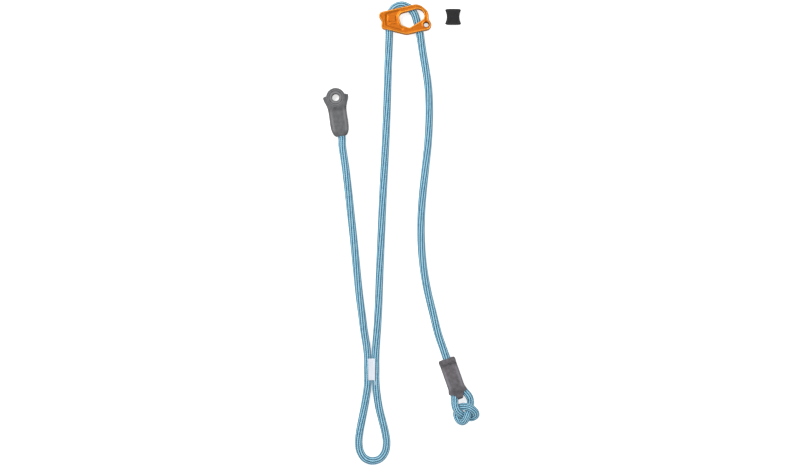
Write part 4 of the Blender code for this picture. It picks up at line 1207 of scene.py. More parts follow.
@dataclass
class StitchPatch:
    """A block of machine sewing: two families of slanted threads over the valley between two strands.

    The two families take turns on top along the patch, in waves of the lengths given along it and across it.
    """

    centre: tuple[float, float] = (-29.15 * MM, -417.6 * MM)
    length: float = 26.0 * MM
    half_w: float = 4.35 * MM
    strand_x: float = 4.75 * MM
    strand_z: float = 4.6 * MM
    strand_r: float = 4.6 * MM
    pitch: float = 0.62 * MM
    slant: float = 0.55
    thread: float = 0.34 * MM
    bulge: float = 1.5
    depth: float = 1.1 * MM
    end_margin: float = 1e-9
    waves: tuple[float, float] = (3.1 * MM, 2.4 * MM)
    dip: float = 0.38
    scallop: float = 0.3 * MM
    row_step: float = 0.11 * MM
    top_columns: int = 90
    under_columns: int = 10
    above: bool = True

    def bed(self, x: Array) -> Array:
        """The height that the threads lie at: the strands' crests, bridged by a slight sag between them.

        Args:
            x: Places across the patch, from its middle.

        Returns:
            The height at each place.
        """
        off = np.clip(np.abs(x) - self.strand_x, -self.strand_r, self.strand_r)
        crest = self.strand_z + np.sqrt(np.maximum(self.strand_r**2 - off**2, 0.0))
        sag = self.strand_z + self.strand_r * 0.84 + 1.1 * MM * (np.abs(x) / self.half_w) ** 2
        return np.maximum(crest, np.minimum(sag, self.strand_z + self.strand_r))

    def cover(self, x: Array, y: Array) -> Array:
        """How high the threads stand over their bed.

        A thread's section is a half circle across its pitch. The two families slant opposite ways, and each
        lies on top in turn along the patch.

        Args:
            x: Places across the patch, from its middle.
            y: Places along it.

        Returns:
            Heights from 0 between threads to 1 on their backs.
        """
        backs = []
        for sign, shift in ((1, 0.0), (-1, 0.4)):
            phase = (y + sign * self.slant * x) / self.pitch + shift
            backs.append(dome(2 * (phase - np.floor(phase)) - 1))
        turn = 0.5 + 0.5 * np.sin(y / self.waves[0] * TAU + x / self.waves[1])
        return np.maximum(backs[0] * (1 - self.dip + self.dip * turn), backs[1] * (1 - self.dip * turn))

    def mesh(self, name: str) -> Mesh:
        """Builds the patch as one closed mesh, with the attribute Gap for painted shade between threads.

        Args:
            name: The mesh's name.

        Returns:
            The mesh.
        """
        rows = np.linspace(-0.5, 0.5, round(self.length / self.row_step)) * self.length
        under = np.linspace(1, -1, self.under_columns + 2)[1:-1]
        t = np.concatenate([np.linspace(-1, 1, self.top_columns), under])
        top = (np.arange(len(t)) < self.top_columns)[None, :]
        ends = np.abs((rows / self.pitch) % 1.0 - 0.5) * 2
        x = t[None, :] * (self.half_w - self.scallop * ends)[:, None]
        y = np.broadcast_to(rows[:, None], x.shape)
        reach = 0.5 * self.length + self.end_margin
        rim, lip = dome(t, 8)[None, :], dome(rows / reach, 24)[:, None]
        bed = self.bed(x)
        threads = bed - 0.5 * self.thread + self.thread * self.cover(x, y) * self.bulge * rim * lip
        z = np.where(top, threads, bed - self.depth)
        z = z if self.above else 2 * self.strand_z - z
        mesh = surface_mesh(name, np.stack([x + self.centre[0], y + self.centre[1], z], axis=2), capped=True)
        places = vertex_places(mesh)
        cover = self.cover(places[:, 0] - self.centre[0], places[:, 1] - self.centre[1])
        # The attribute Gap carries painted shade between the threads
        mark(mesh, "Gap", 1.0 - smooth_step(cover, 0.15, 0.6))
        return mesh


@dataclass
class TieInStitching:
    """The white stitching that joins the two strands above the tie-in loop, on both faces."""

    finishes: Finishes
    back_half_w: float = 2.6 * MM
    end_radius: float = 0.28 * MM
    hidden: tuple[str, str] = ("fixed_eye_stitching", "tail_eye_stitching")

    def build(self) -> None:
        """Builds the front patch, the thread's cut end and the back patch in the strands' valley."""
        thread = self.finishes.thread
        front = StitchPatch().mesh("bartack")
        add_piece("sewn_bartack", front, thread, Slot.THREAD, "tie_in", "tie_in_bartack")
        line, _ = evenly(smooth_line(in_metres(THREAD_END_ROUTE)), 0.15 * MM)
        end = round_tube("thread_end", line, self.end_radius)
        add_piece("thread_end", end, thread, Slot.THREAD, "tie_in")
        back = StitchPatch(half_w=self.back_half_w, above=False).mesh("bartack_back")
        add_piece("sewn_bartack_back", back, thread, Slot.THREAD, "tie_in", "tie_in_bartack_back")
        for node in self.hidden:
            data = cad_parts[node].data
            data.materials.clear()
            data.materials.append(thread)


@dataclass(frozen=True)
class SquaredSkin:
    """A skin of squared rings along Y, as both moulded sleeves have."""

    middle: float = 6.3 * MM
    power: float = 4.0
    sides: int = 240
    nominal: tuple[float, float] = (10.6, 6.1)
    seam: float = 0.1 * MM
    seam_half_w: float = 0.45 * MM

    def grid(self, y: Array, half_w: Array, half_t: Array) -> Array:
        """Points of the rings.

        A ring follows a superellipse: across by the power 2 / p of the cosine and up by that of the sine,
        at angles chosen so that its points are evenly spaced on a ring of the nominal size. A fine seam
        line runs along both sides, where the mould parts.

        Args:
            y: Each ring's place.
            half_w: Its half width.
            half_t: Its half thickness.

        Returns:
            The points, (rings, sides, 3).
        """
        fine = np.linspace(0, TAU, 8001)
        halves = zip(self.nominal, (fine, fine - TAU / 4))
        shape = np.stack([half * self.across(angle) for half, angle in halves], axis=1)
        along = arc_lengths(shape)
        angle = np.interp(np.arange(self.sides) / self.sides * along[-1], along, fine)
        across, over = self.across(angle), self.across(angle - TAU / 4)
        x, z = half_w[:, None] * across, self.middle + half_t[:, None] * over
        x = x + np.sign(across) * self.seam * groove(z, self.middle, self.seam_half_w)
        return np.stack([x, np.broadcast_to(y[:, None], x.shape), z], axis=2)

    def across(self, angle: Array) -> Array:
        """The superellipse's cosine."""
        return np.sign(np.cos(angle)) * np.abs(np.cos(angle)) ** (2 / self.power)

    def sink(self, grid: Array, depth: Array) -> Array:
        """Moves points towards the middle plane, less where the skin stands upright.

        Args:
            grid: The rings' points.
            depth: How far each moves where the skin lies level.

        Returns:
            The moved points.
        """
        over = (grid[..., 2] - self.middle) / np.abs(grid[..., 2] - self.middle).max(axis=1, keepdims=True)
        out = grid.copy()
        out[..., 2] -= np.sign(over) * smooth_step(np.abs(over), 0.35, 0.9) * depth
        return out


@dataclass
class FixedSleeve:
    """The fixed arm's moulded sleeve: squared body with two fins, and the ringed eye for the connector."""

    finishes: Finishes
    rope: Rope
    skin: SquaredSkin = field(default_factory=SquaredSkin)
    rows: int = 180
    lip: float = 0.35 * MM
    fin_drop: float = 4.3 * MM
    boss_r: float = 11.5 * MM
    boss_half_t: float = 6.1 * MM
    ring_rise: float = 0.22 * MM
    ring_grooves: tuple[tuple[float, float], ...] = ((8.0 * MM, 0.5 * MM), (9.9 * MM, 0.55 * MM))
    groove_depth: float = 0.3 * MM
    edge: float = 1.6 * MM
    hole_r: float = 4.3 * MM
    flare: float = 0.7 * MM
    panel_depth: float = 0.5 * MM
    rail_depth: float = 0.22 * MM
    offset: float = 0.35 * MM
    eye_strand_r: float = 8.5 * MM
    strand_half: tuple[float, float] = (4.3 * MM, 4.2 * MM)
    strand_narrowing: float = 2.0 * MM

    def body(self) -> Mesh:
        """Builds the body: smooth widths along Y, a sunk panel, and two fins that slope up to the eye.

        Returns:
            The body's mesh.
        """
        smooth = smooth_line(in_metres(FIXED_STATIONS), 16)
        y = np.linspace(smooth[0, 0], smooth[-1, 0], self.rows)
        half_w, half_t = (np.interp(y, smooth[:, 0], smooth[:, k]) for k in (1, 2))
        drawn_in = self.lip * (1 - smooth_step(y, y[0], y[0] + 0.8 * MM))
        close = np.sqrt(np.clip((y[-1] - y) / (1.2 * MM), 0.0, 1.0))
        half_w, half_t = half_w - drawn_in, (half_t - drawn_in) * (0.7 + 0.3 * close)
        grid = self.skin.grid(y, half_w, half_t)
        grid[..., 2] += (grid[..., 2] - self.skin.middle) * (self.fairing(grid, half_t[:, None]) - 1)
        across = np.abs(grid[..., 0]) / half_w[:, None]
        share = smooth_step(grid[..., 1], -16 * MM, 6.3 * MM)
        panel = smooth_step(inside_depth(grid, belt_outline(FIXED_PANEL_CIRCLES)), -0.4 * MM, 0.4 * MM)
        rail = groove(across, 0.86, 0.07) * smooth_step(grid[..., 1], -43 * MM, -36 * MM)
        rail *= 1 - smooth_step(grid[..., 1], -16 * MM, -8 * MM)
        grid = self.skin.sink(grid, self.panel_depth * panel + self.rail_depth * rail)
        grid[..., 1] -= self.fin_drop * share * across
        grid[..., 0] -= self.offset * smooth_step(-grid[..., 1], 5 * MM, 20 * MM)
        return surface_mesh("fixed_sleeve", FIXED_EYE.to_part(grid), capped=True)

    def fairing(self, grid: Array, half_t: Array) -> Array:
        """How much thicker the body is than its station says, where it runs into the eye's disc.

        The wanted half thickness at the disc's rim grows from the fins to the neck, and falls off beyond
        the rim.

        Args:
            grid: The body's points.
            half_t: The stations' half thickness at each.

        Returns:
            A factor for each point, 1 or more.
        """
        r = np.linalg.norm(grid[..., :2], axis=-1)
        to_neck = smooth_step(-grid[..., 1] / np.maximum(r, TINY), -0.3, 0.75)
        beyond = np.maximum(r - self.boss_r, 0.0)
        wanted = self.boss_half_t - 1.3 * MM * (1 - to_neck) - 0.05 * MM - (0.55 - 0.4 * to_neck) * beyond
        return np.maximum(1.0, wanted / half_t)

    def tone(self, mesh: Mesh) -> None:
        """Marks painted highlight beside the panel and on the rings round the hole, and painted shade under
        the disc and in the ring grooves, with a darker end at the mouth.

        Args:
            mesh: The finished sleeve.
        """
        own = FIXED_EYE.to_own(vertex_places(mesh))
        x, y = np.abs(own[:, 0]), own[:, 1]
        table = in_metres(FIXED_STATIONS)
        # Painted highlight in bands beside the panel and on rings round the hole
        band = groove(x / np.interp(y, table[:, 0], table[:, 1]), 0.72, 0.22)
        band *= smooth_step(y, -44 * MM, -38 * MM) * (1 - smooth_step(y, -18 * MM, -10 * MM))
        r = np.linalg.norm(own[:, :2], axis=1)
        rings = groove(r, 6.2 * MM, 1.3 * MM) + 0.8 * groove(r, 9.0 * MM, 0.9 * MM)
        rings += 0.6 * groove(r, 10.6 * MM, 0.9 * MM)
        mark(mesh, "Rim", np.clip(band + rings, 0, 1) * (np.abs(own[:, 2] - self.skin.middle) > 3 * MM))
        # Painted shade under the disc and in the ring grooves, and darker towards the mouth
        neck = groove(y, -13.5 * MM, 4.5 * MM) * (r > 8.2 * MM)
        mouth = 1 - smooth_step(y, -44.5 * MM, -38 * MM)
        grooves = sum(groove(r, *ring) for ring in self.ring_grooves)
        mark(mesh, "Shade", np.clip(0.75 * neck + 0.6 * mouth + grooves, 0, 1))

    def boss(self) -> Mesh:
        """Turns the eye's disc, with a ring round the hole and two fine ring grooves.

        Returns:
            The disc's mesh.
        """
        r = np.linspace(2.0 * MM, self.boss_r - self.edge, 90)
        top = self.boss_half_t + self.ring_rise * (1 - smooth_step(r, 6.9 * MM, 7.4 * MM))
        top = top - self.groove_depth * sum(groove(r, *ring) for ring in self.ring_grooves)
        bend = np.linspace(0, TAU / 4, 10)[1:]
        rim_r = self.boss_r - self.edge + self.edge * np.sin(bend)
        rim_z = self.boss_half_t - self.edge + self.edge * np.cos(bend)
        upper = np.stack([np.concatenate([r, rim_r]), np.concatenate([top, rim_z])], axis=1)
        profile = np.vstack([upper, upper[::-1] * (1, -1)]) + (0.0, self.skin.middle)
        return turned("boss", (0.0, 0.0), profile, capped=True, place=FIXED_EYE, sides=160)

    def hole(self) -> Mesh:
        """Turns what is cut out for the eye: a cylinder that flares at both faces.

        Returns:
            The cutter's mesh.
        """
        high = self.boss_half_t + self.ring_rise
        bend = np.linspace(0, TAU / 4, 8)
        lip_r, lip_z = self.hole_r + self.flare * (1 - np.cos(bend)), high - self.flare * (1 - np.sin(bend))
        lip = np.vstack([np.stack([lip_r, lip_z], axis=1), [(lip_r[-1], high + 1 * MM)]])
        profile = np.vstack([lip[::-1] * (1, -1), lip]) + (0.0, self.skin.middle)
        return turned("hole", (0.0, 0.0), profile, capped=True, place=FIXED_EYE, sides=128)

    def strand(self) -> None:
        """Builds the strand inside, drawn in where it rounds the eye."""
        angles = np.radians(np.arange(-22, 203, 32))
        turn = np.stack([np.cos(angles), np.sin(angles), np.zeros(len(angles))], axis=1) * self.eye_strand_r
        turn[:, 2] = self.skin.middle
        route = np.vstack([in_metres(EYE_RISE_ROUTE), turn, in_metres(EYE_FALL_ROUTE)])
        centres, along = evenly(smooth_line(route, 12), 0.8 * MM)
        narrow = 1 - smooth_step(np.linalg.norm(centres[:, :2], axis=1), self.eye_strand_r, 17 * MM)
        turns = np.arange(self.rope.sides) / self.rope.sides * TAU
        wide, high = self.strand_half[0] - self.strand_narrowing * narrow, self.strand_half[1]
        radii = 1 / np.sqrt((np.cos(turns) / wide[:, None]) ** 2 + (np.sin(turns) / high) ** 2)
        mesh = self.rope.sheath("fixed_eye_rope", FIXED_EYE.to_part(centres), -along, radii)
        add_piece("sheath_fixed_eye_rope", mesh, self.rope.paint, Slot.ROPE, "fixed_arm", "fixed_eye_rope")

    def build(self) -> None:
        """Joins the body and the disc, cuts the eye and the mouth, and adds the strand inside."""
        mesh = combine(self.body(), self.boss(), Join.ADD)
        mesh = combine(mesh, self.hole(), Join.CUT)
        mesh = combine(mesh, self.rope.mouth(FIXED_EYE, (0.4, -48.5, 6.3), (0.4, -42.5, 6.3)), Join.CUT)
        crease(mesh, 38)
        self.tone(mesh)
        add_piece("moulded_fixed_sleeve", mesh, self.finishes.grey, Slot.GREY, "fixed_arm", "fixed_sleeve")
        self.strand()


@dataclass
class TailSleeve:
    """The tail's moulded sleeve: collar, rails round a sunk panel, ears and a flap between the strands."""

    finishes: Finishes
    rope: Rope
    skin: SquaredSkin = field(default_factory=lambda: SquaredSkin(power=7.0))
    rows: int = 260
    half_t: float = 6.1 * MM
    least_half_w: float = 0.6 * MM
    rounding: float = 0.9 * MM
    collar_h: float = 5.4 * MM
    collar_step: float = 0.25 * MM
    groove_depth: float = 0.35 * MM
    panel_depth: float = 0.55 * MM
    rail_depth: float = 0.18 * MM
    leg_r: float = 4.75 * MM
    offset: float = 0.5 * MM

    def body(self) -> Mesh:
        """Builds the skin, with a collar band, a step below it and the sunk panel.

        Returns:
            The skin's mesh.
        """
        outline = belt_outline(TAIL_SLEEVE_CIRCLES, step_deg=2.0)
        low, high = float(outline[:, 1].min()), float(outline[:, 1].max())
        y = low + (high - low) * np.linspace(0, 1, self.rows)
        top = dome(((y - high + 1.2 * MM) / (1.25 * MM)).clip(0))
        tip = dome(((low + 2.4 * MM - y) / (2.45 * MM)).clip(0))
        more = self.collar_step * smooth_step(y, -self.collar_h - 0.25 * MM, -self.collar_h + 0.25 * MM)
        drawn_in = self.rounding * (1 - top)
        half_w = np.maximum(half_widths(outline, y), self.least_half_w) + more - drawn_in
        half_t = (self.half_t + more) * (0.25 + 0.75 * tip) - drawn_in
        grid = self.skin.grid(y, half_w, half_t)
        depth = inside_depth(grid, belt_outline(TAIL_PANEL_CIRCLES))
        sunk = self.panel_depth * smooth_step(depth, -0.35 * MM, 0.35 * MM)
        step = self.groove_depth * groove(grid[..., 1], -self.collar_h - 0.45 * MM, 0.55 * MM)
        across = np.abs(grid[..., 0]) / (half_w[:, None] + TINY)
        rail = self.rail_depth * groove(across, 0.83, 0.09) * smooth_step(-grid[..., 1], 7 * MM, 10 * MM)
        grid = self.skin.sink(grid, np.maximum(sunk, np.maximum(step, rail)))
        grid[..., 0] -= self.offset
        return surface_mesh("tail_sleeve", TAIL_TOP.to_part(grid), capped=True)

    def tone(self, mesh: Mesh) -> None:
        """Marks painted highlight in bands beside the panel, painted shade in the step under the collar,
        and a darker flap and collar.

        Args:
            mesh: The finished sleeve.
        """
        own = TAIL_TOP.to_own(vertex_places(mesh)) + (self.offset, 0.0, 0.0)
        down = -own[:, 1]
        across = np.abs(own[:, 0]) / half_widths(belt_outline(TAIL_SLEEVE_CIRCLES), own[:, 1])
        # Painted highlight in bands beside the panel
        band = groove(across, 0.74, 0.24) * smooth_step(down, 8 * MM, 14 * MM)
        mark(mesh, "Rim", band * (1 - smooth_step(down, 34 * MM, 42 * MM)))
        # Painted shade in the step under the collar; the flap and the collar are marked darker
        flap = smooth_step(down, 33 * MM, 39 * MM) * (1 - smooth_step(across, 0.5, 1.0))
        step = groove(down, self.collar_h + 1.6 * MM, 2.6 * MM)
        mark(mesh, "Shade", np.clip(0.7 * flap + step + 0.35 * (down < self.collar_h), 0, 1))

    def build(self) -> None:
        """Builds the skin and cuts the mouth and the two hollows that the strands leave by."""
        mesh = combine(self.body(), self.rope.mouth(TAIL_TOP, (0.0, 2.0, 6.3), (0.0, -4.0, 6.3)), Join.CUT)
        for leg in ([*TAIL_ENTRY_ROUTE[-1:], *KNOT_ROUTE[:4]], [*KNOT_ROUTE[-4:], *TAIL_LAP_ROUTE[:1]]):
            line, _ = evenly(smooth_line(TAIL_TOP.to_part(in_metres(leg))), 0.5 * MM)
            mesh = combine(mesh, round_tube("leg", line, self.leg_r, 72), Join.CUT)
        crease(mesh, 38)
        self.tone(mesh)
        add_piece("moulded_tail_sleeve", mesh, self.finishes.warm_grey, Slot.GREY, "tail_end", "tail_sleeve")


@dataclass
class Cheek:
    """One forged plate of the adjuster, between its outline and its window."""

    low: float
    high: float
    low_edge: float
    high_edge: float
    front: bool
    centre: tuple[float, float] = (12.0 * MM, 1.0 * MM)
    columns: int = 620
    window_edge: float = 0.7 * MM
    sunk: float = 0.28 * MM
    recess: float = 0.42 * MM
    pad: float = 0.2 * MM
    bar: float = 0.14 * MM

    def row(self, circles: Circles, grow: float) -> Array:
        """The points of an outline's offset, one in each direction from the centre.

        Args:
            circles: The outline's circles.
            grow: How far it is moved outwards.

        Returns:
            The points, x and y.
        """
        angles = np.arange(self.columns) / self.columns * TAU
        far = reach(belt_outline(circles, grow, 2.0), np.array(self.centre), angles)
        return np.stack([np.cos(angles), np.sin(angles)], axis=1) * far[:, None] + self.centre

    def rounding(self, circles: Circles, edge: float) -> list[tuple[Array, float]]:
        """The rows of an edge's quarter circle, from its wall up to the face.

        Args:
            circles: The edge's outline.
            edge: The rounding's radius, negative where the face lies inside the outline.

        Returns:
            Each row's points, and how far it lies under the face.
        """
        bend = np.linspace(0, TAU / 4, 9)
        return [(self.row(circles, edge * (1 - math.cos(a))), abs(edge) * (1 - math.sin(a))) for a in bend]

    def face(self, edge: float, level: float, up: float, rows: int) -> Array:
        """One face, from the window's wall to the outer wall, as rows of points.

        Between the two roundings, each direction's points are evenly spaced.

        Args:
            edge: The outer edge's rounding.
            level: The face's height.
            up: 1 for a face that looks up, -1 for one that looks down.
            rows: How many rows lie between the roundings.

        Returns:
            The rows, (rows, columns, 3).
        """
        window = self.rounding(WINDOW_CIRCLES, min(edge, self.window_edge))
        outer = self.rounding(CHEEK_CIRCLES, -edge)[::-1]
        shares = np.linspace(0, 1, rows + 2)[1:-1]
        between = [(window[-1][0] * (1 - s) + outer[0][0] * s, 0.0) for s in shares]
        parts = [
            np.concatenate([points, np.full((self.columns, 1), level - up * drop)], axis=1)
            for points, drop in [*window, *between, *outer]
        ]
        return np.stack(parts)

    def from_rims(self, points: Array) -> Array:
        """How far points lie from the outline and the window's line, whichever is nearer."""
        outer, window = (inside_depth(points, belt_outline(circles, step_deg=4.0)) for circles in PLATE_LINES)
        return np.minimum(outer, -window)

    def relief(self, points: Array) -> Array:
        """How deep the forged face lies: sunk between its raised rims, with a recess, a raised pad and a bar.

        Args:
            points: The face's points.

        Returns:
            The depth under the rims at each.
        """
        x, y = points[..., 0], points[..., 1]
        from_ear = np.linalg.norm(points[..., :2] - in_metres(AUXILIARY_HOLE), axis=-1) - 3.0 * MM
        rim = smooth_step(np.minimum(self.from_rims(points), from_ear), 1.2 * MM, 2.3 * MM)
        recess = inside_depth(points, belt_outline(RECESS_CIRCLES, step_deg=4.0))
        recess = smooth_step(recess, -1.1 * MM, 1.0 * MM)
        pad = smooth_step(inside_depth(points, belt_outline(PAD_CIRCLES)), -0.35 * MM, 0.35 * MM)
        bar = smooth_step(groove(y, -4.3 * MM, 0.8 * MM) * groove(x, -4.0 * MM, 5.5 * MM), 0.0, 0.5)
        return self.sunk * rim + self.recess * recess - self.pad * pad - self.bar * bar

    def mesh(self) -> Mesh:
        """Builds the plate, with the attribute Rim for a painted highlight on its raised rims.

        Returns:
            The plate's mesh.
        """
        top = self.face(self.high_edge, self.high, 1, 40)
        under = self.face(self.low_edge, self.low, -1, 16)
        seen = top if self.front else under
        seen[..., 2] -= (1 if self.front else -1) * self.relief(seen)
        mesh = surface_mesh("cheek", np.concatenate([top, under[::-1]]), capped=False)
        flare = in_metres([(4.4, -1.0), (3.7, 0.0), (3.0, 0.6)])
        ear = np.vstack([flare + (0.0, self.low), flare[::-1] * (1, -1) + (0.0, self.high)])
        mesh = combine(mesh, turned("ear", AUXILIARY_HOLE, ear, capped=True), Join.CUT)
        if not self.front:
            seat = in_metres([(2.75, -0.5), (2.4, 0.25), (2.4, 1.25)])
            for x, y, _ in FASTENERS.values():
                mesh = combine(mesh, turned("seat", (x, y), seat, capped=True, sides=64), Join.CUT)
        crease(mesh, 40)
        # Painted highlight on the rims along the outline and the window
        mark(mesh, "Rim", 1 - smooth_step(self.from_rims(vertex_places(mesh)), 0.9 * MM, 2.4 * MM))
        return mesh


@dataclass
class Adjuster:
    """The plate adjuster: two forged cheeks, the saddle that the rope turns over, bush, studs and rivets."""

    finishes: Finishes
    gap_low: float = 3.0 * MM
    gap_high: float = 12.8 * MM
    high: float = 15.8 * MM
    play: float = 0.05 * MM
    shank_r: float = 1.5 * MM
    head_r: float = 2.1 * MM
    saddle_rows: int = 40
    saddle_flare: float = 1.1 * MM
    saddle_edge: float = 0.35 * MM
    saddle_back: tuple[float, float] = (0.75, -0.65)
    bush_sunk: float = 0.55 * MM
    bush_bore: float = 3.0 * MM
    bush_r: float = 4.7 * MM
    bush_waist: float = 3.95 * MM

    def fastener(self, x: float, y: float, shoulder: float) -> Mesh:
        """A stud or rivet: a flush head at the back, a shoulder between the cheeks and a shank through them.

        Args:
            x: Where it stands, in millimetres.
            y: The same along Y.
            shoulder: The shoulder's radius, in millimetres. A rivet's is no wider than its shank.

        Returns:
            The mesh.
        """
        low, high, r, shank = self.gap_low + self.play, self.gap_high - self.play, shoulder * MM, self.shank_r
        corners = [(0.5 * MM, 0.1 * MM), (self.head_r, 0.1 * MM), (self.head_r, 1.1 * MM), (shank, 1.1 * MM)]
        corners += [(shank, low), (r, low), (r, high), (shank, high)] if r > shank else []
        corners += [(shank, 14.4 * MM), (0.5 * MM, 14.5 * MM)]
        return turned("fastener", (x, y), eased(corners, 0.25 * MM, closed=False), capped=True)

    def saddle(self) -> Mesh:
        """The saddle's post and arch, which flares towards both cheeks where the rope turns over it.

        Returns:
            The mesh.
        """
        low, high = self.gap_low + self.play, self.gap_high - self.play
        levels = np.linspace(low, high, self.saddle_rows)
        outline = densely(belt_outline(SADDLE_CIRCLES, step_deg=2.0), 0.12 * MM)
        ahead = np.roll(outline, -1, axis=0) - np.roll(outline, 1, axis=0)
        normal = np.stack([ahead[:, 1], -ahead[:, 0]], axis=1) / np.linalg.norm(ahead, axis=1)[:, None]
        from_arch = np.linalg.norm(outline - in_metres(SADDLE_CIRCLES[-1][:2]), axis=1)
        rope_side = smooth_step(from_arch, 8.1 * MM, 8.38 * MM)
        rope_side *= smooth_step(-np.sum(normal * self.saddle_back, axis=1), -0.5, 0.1)
        from_middle = np.abs(levels - (low + high) / 2) / ((high - low) / 2)
        flare = self.saddle_flare * from_middle**4
        ease = self.saddle_edge * (1 - dome(((from_middle - 0.9) / 0.1).clip(0)))
        grow = flare[:, None] * rope_side[None, :] - ease[:, None]
        plan = outline[None] + normal[None] * grow[..., None]
        heights = np.broadcast_to(levels[:, None, None], (*plan.shape[:2], 1))
        mesh = surface_mesh("saddle", np.concatenate([plan, heights], axis=2), capped=True)
        crease(mesh, 40)
        return mesh

    def bush(self) -> Mesh:
        """The bush round the small hole, with a waist that clears the rope.

        Returns:
            The mesh.
        """
        low, high = self.gap_low - self.bush_sunk, self.gap_high + self.bush_sunk
        middle = (low + high) / 2
        corners = [(self.bush_bore, low), (self.bush_r, low), (self.bush_r, low + 1.6 * MM)]
        corners += [(self.bush_waist, middle - 2.2 * MM)]
        corners += [(r, 2 * middle - z) for r, z in corners[::-1]]
        return turned("bush", AUXILIARY_HOLE, eased(corners, 0.3 * MM), capped=False)

    def build(self) -> None:
        """Builds every piece of the adjuster, each on the adjuster's body."""
        anodised, saddle, steel = self.finishes.anodised, self.finishes.saddle, self.finishes.steel
        front = Cheek(self.gap_high, self.high, 0.3 * MM, 1.0 * MM, True).mesh()
        back = Cheek(0.0, self.gap_low, 1.0 * MM, 0.3 * MM, False).mesh()
        add_piece("forged_front_cheek", front, anodised, Slot.ANODISED, "adjuster", "front_cheek")
        add_piece("forged_back_cheek", back, anodised, Slot.ANODISED, "adjuster", "back_cheek")
        add_piece("turned_rope_saddle", self.saddle(), saddle, Slot.SADDLE, "adjuster", "rope_saddle")
        add_piece("turned_auxiliary_bush", self.bush(), anodised, Slot.ANODISED, "adjuster", "auxiliary_bush")
        for name, row in FASTENERS.items():
            add_piece("turned_" + name, self.fastener(*row), steel, Slot.STEEL, "adjuster", name)


@dataclass
class Keeper:
    """The loose elastic keeper: a waisted band with a slot through it and a framed panel."""

    finishes: Finishes
    sides: int = 240
    power: float = 6.0
    half_l: float = 9.35 * MM
    half_t: float = 3.7 * MM
    slot_half_w: float = 5.2 * MM
    slot_half_h: float = 2.4 * MM
    slot_middle: float = 3.6 * MM
    lip: float = 0.9 * MM
    belly: float = 0.12 * MM
    panel_depth: float = 0.35 * MM
    frame_depth: float = 0.12 * MM
    skin_rows: int = 90
    lip_rows: int = 14
    slot_rows: int = 60

    def section(self) -> tuple[Array, Array]:
        """A squared ring's shares across and up, at even steps of its own length.

        Returns:
            The two rows of shares, from -1 to 1.
        """
        skin = SquaredSkin(power=self.power, sides=self.sides, nominal=(9.0, 3.7), seam=0.0)
        grid = skin.grid(np.zeros(1), np.ones(1), np.ones(1))[0]
        return grid[:, 0], grid[:, 2] - skin.middle

    def mesh(self) -> Mesh:
        """Builds the band as one closed ring of sections: outer skin, lip, the slot's wall, other lip.

        Along a lip, the section goes from the outer one to the slot's by a share u, and bulges outwards by
        the sine of a half turn of u.

        Returns:
            The keeper's mesh, with the attribute Rim for a painted highlight round its panel.
        """
        across, up = self.section()
        u = np.linspace(0, 1, self.lip_rows + 2)[1:-1]
        out, wall, lip = np.ones(self.skin_rows), np.ones(self.slot_rows), np.ones(self.lip_rows)
        share = np.concatenate([0 * out, u, wall, u[::-1]])[:, None]
        ends = np.linspace(-1, 1, self.skin_rows), np.linspace(1, -1, self.slot_rows)
        place = np.concatenate([ends[0], lip, ends[1], -lip])
        bulge = np.concatenate([0 * out, np.sin(u * math.pi), 0 * wall, -np.sin(u * math.pi)])
        lengthwise = place * (self.half_l - self.lip)
        x_out = half_widths(belt_outline(KEEPER_CIRCLES, step_deg=1.0), lengthwise)[:, None] * across
        x = x_out * (1 - share) + self.slot_half_w * across * share
        z = self.half_t * (1 + up) * (1 - share) + (self.slot_middle + self.slot_half_h * up) * share
        belly = self.belly * (1 - (x_out / (9.5 * MM)) ** 2)
        y = (lengthwise + self.lip * bulge)[:, None] + belly * (place**3)[:, None]
        grid = np.stack([x, y, z], axis=2)
        panel = belt_outline(KEEPER_PANEL_CIRCLES)
        depth = inside_depth(grid, panel)
        sunk = self.panel_depth * smooth_step(depth, -0.3 * MM, 0.3 * MM)
        sunk = sunk + self.frame_depth * groove(depth, 0.9 * MM, 0.4 * MM)
        grid[..., 2] -= sunk * smooth_step(z, 6.4 * MM, 7.0 * MM) * (share == 0)
        mesh = surface_mesh("keeper", KEEPER_PLACE.to_part(grid), capped=False)
        crease(mesh, 45)
        own = KEEPER_PLACE.to_own(vertex_places(mesh))
        # Painted highlight just outside the panel's edge
        mark(mesh, "Rim", groove(inside_depth(own, panel), -0.7 * MM, 0.7 * MM) * (own[:, 2] > 6 * MM))
        return mesh

    def build(self) -> None:
        """Builds the keeper."""
        add_piece("moulded_keeper", self.mesh(), self.finishes.black, Slot.BLACK, "keeper", "keeper")


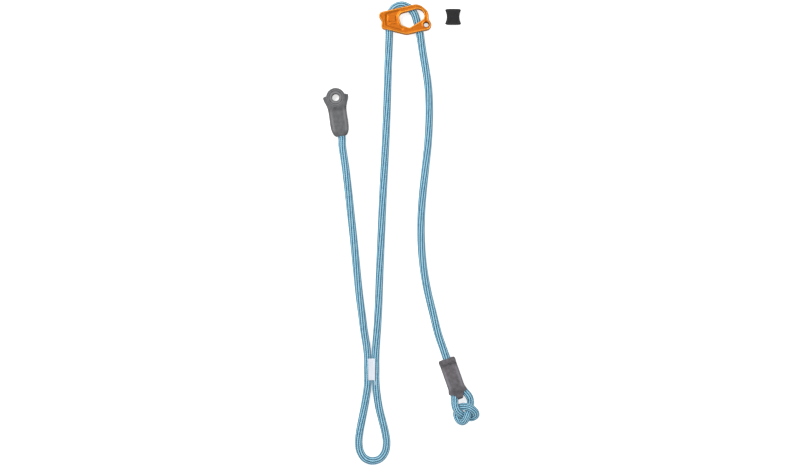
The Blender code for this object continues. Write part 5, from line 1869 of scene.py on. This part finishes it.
@dataclass
class Studio:
    """The white table, the soft light and the camera straight above."""

    view_width: float = 0.96
    view_centre: tuple[float, float] = (4.8 * MM, -253.8 * MM)
    camera_height: float = 3.0
    sensor: float = 36.0
    floor_half: float = 4.0
    sky: float = 0.45
    floor_glow: float = 0.7

    def build(self) -> None:
        """Sets up the floor, the lamps, the world and the camera."""
        scene = bpy.context.scene
        scene.view_settings.view_transform = "Standard"
        self.floor()
        self.lamp("key", (-0.7, 0.7, 1.6), 0.7, 21.0)
        self.lamp("fill", (1.1, -0.9, 1.5), 1.4, 7.0)
        world = bpy.data.worlds.new("studio")
        world.use_nodes = True
        background = world.node_tree.nodes["Background"]
        Nodes(world.node_tree).feed(background, {"Color": (1, 1, 1, 1), "Strength": self.sky})
        scene.world = world
        camera = bpy.data.cameras.new("overhead")
        camera.sensor_width = self.sensor
        camera.lens = self.sensor * self.camera_height / self.view_width
        camera.clip_end = 10.0
        scene.camera = self.stand("overhead", camera, (*self.view_centre, self.camera_height))

    def stand(self, name: str, data: bpy.types.ID, place: Sequence[float]) -> bpy.types.Object:
        """Puts a floor, a lamp or a camera into the scene.

        Args:
            name: The object's name.
            data: Its mesh, light or camera.
            place: Where it stands.

        Returns:
            The object.
        """
        obj = bpy.data.objects.new(name, data)
        obj.location = place
        bpy.context.scene.collection.objects.link(obj)
        return obj

    def floor(self) -> None:
        """A white floor that reads as white to the camera and still takes the object's shadow."""
        half = self.floor_half
        mesh = bpy.data.meshes.new("floor")
        corners = [(-half, -half, 0), (half, -half, 0), (half, half, 0), (-half, half, 0)]
        mesh.from_pydata(corners, [], [(0, 1, 2, 3)])
        material, nodes, shader = new_material("white table")
        seen = nodes.add("LightPath").outputs["Is Camera Ray"]
        glow = {"Emission Color": (1, 1, 1, 1), "Emission Strength": nodes.times(seen, self.floor_glow)}
        matt = {"Base Color": (0.86, 0.86, 0.86, 1), "Roughness": 0.9, "Specular IOR Level": 0.1}
        nodes.feed(shader, {**matt, **glow})
        mesh.materials.append(material)
        self.stand("floor", mesh, (0, 0, 0))

    def lamp(self, name: str, place: tuple[float, float, float], size: float, power: float) -> None:
        """Puts up a square soft lamp that faces the object's middle.

        Args:
            name: The lamp's name.
            place: Where it stands, from the object's middle.
            size: The length of its side.
            power: Its power in watts.
        """
        light = bpy.data.lights.new(name, "AREA")
        light.size = size
        light.energy = power
        obj = self.stand(name, light, np.array([*self.view_centre, 0.0]) + place)
        obj.rotation_euler = (-Vector(place)).to_track_quat("-Z", "Y").to_euler()


def main() -> None:
    """Builds the studio and every sub-assembly in order."""
    logging.basicConfig(level=logging.INFO, format="%(name)s: %(message)s")
    Studio().build()
    finishes = Finishes()
    rope = Rope()
    rope.build()
    TailKnot(rope).build()
    TieInStitching(finishes).build()
    FixedSleeve(finishes, rope).build()
    TailSleeve(finishes, rope).build()
    Adjuster(finishes).build()
    Keeper(finishes).build()


if __name__ == "__main__":
    main()
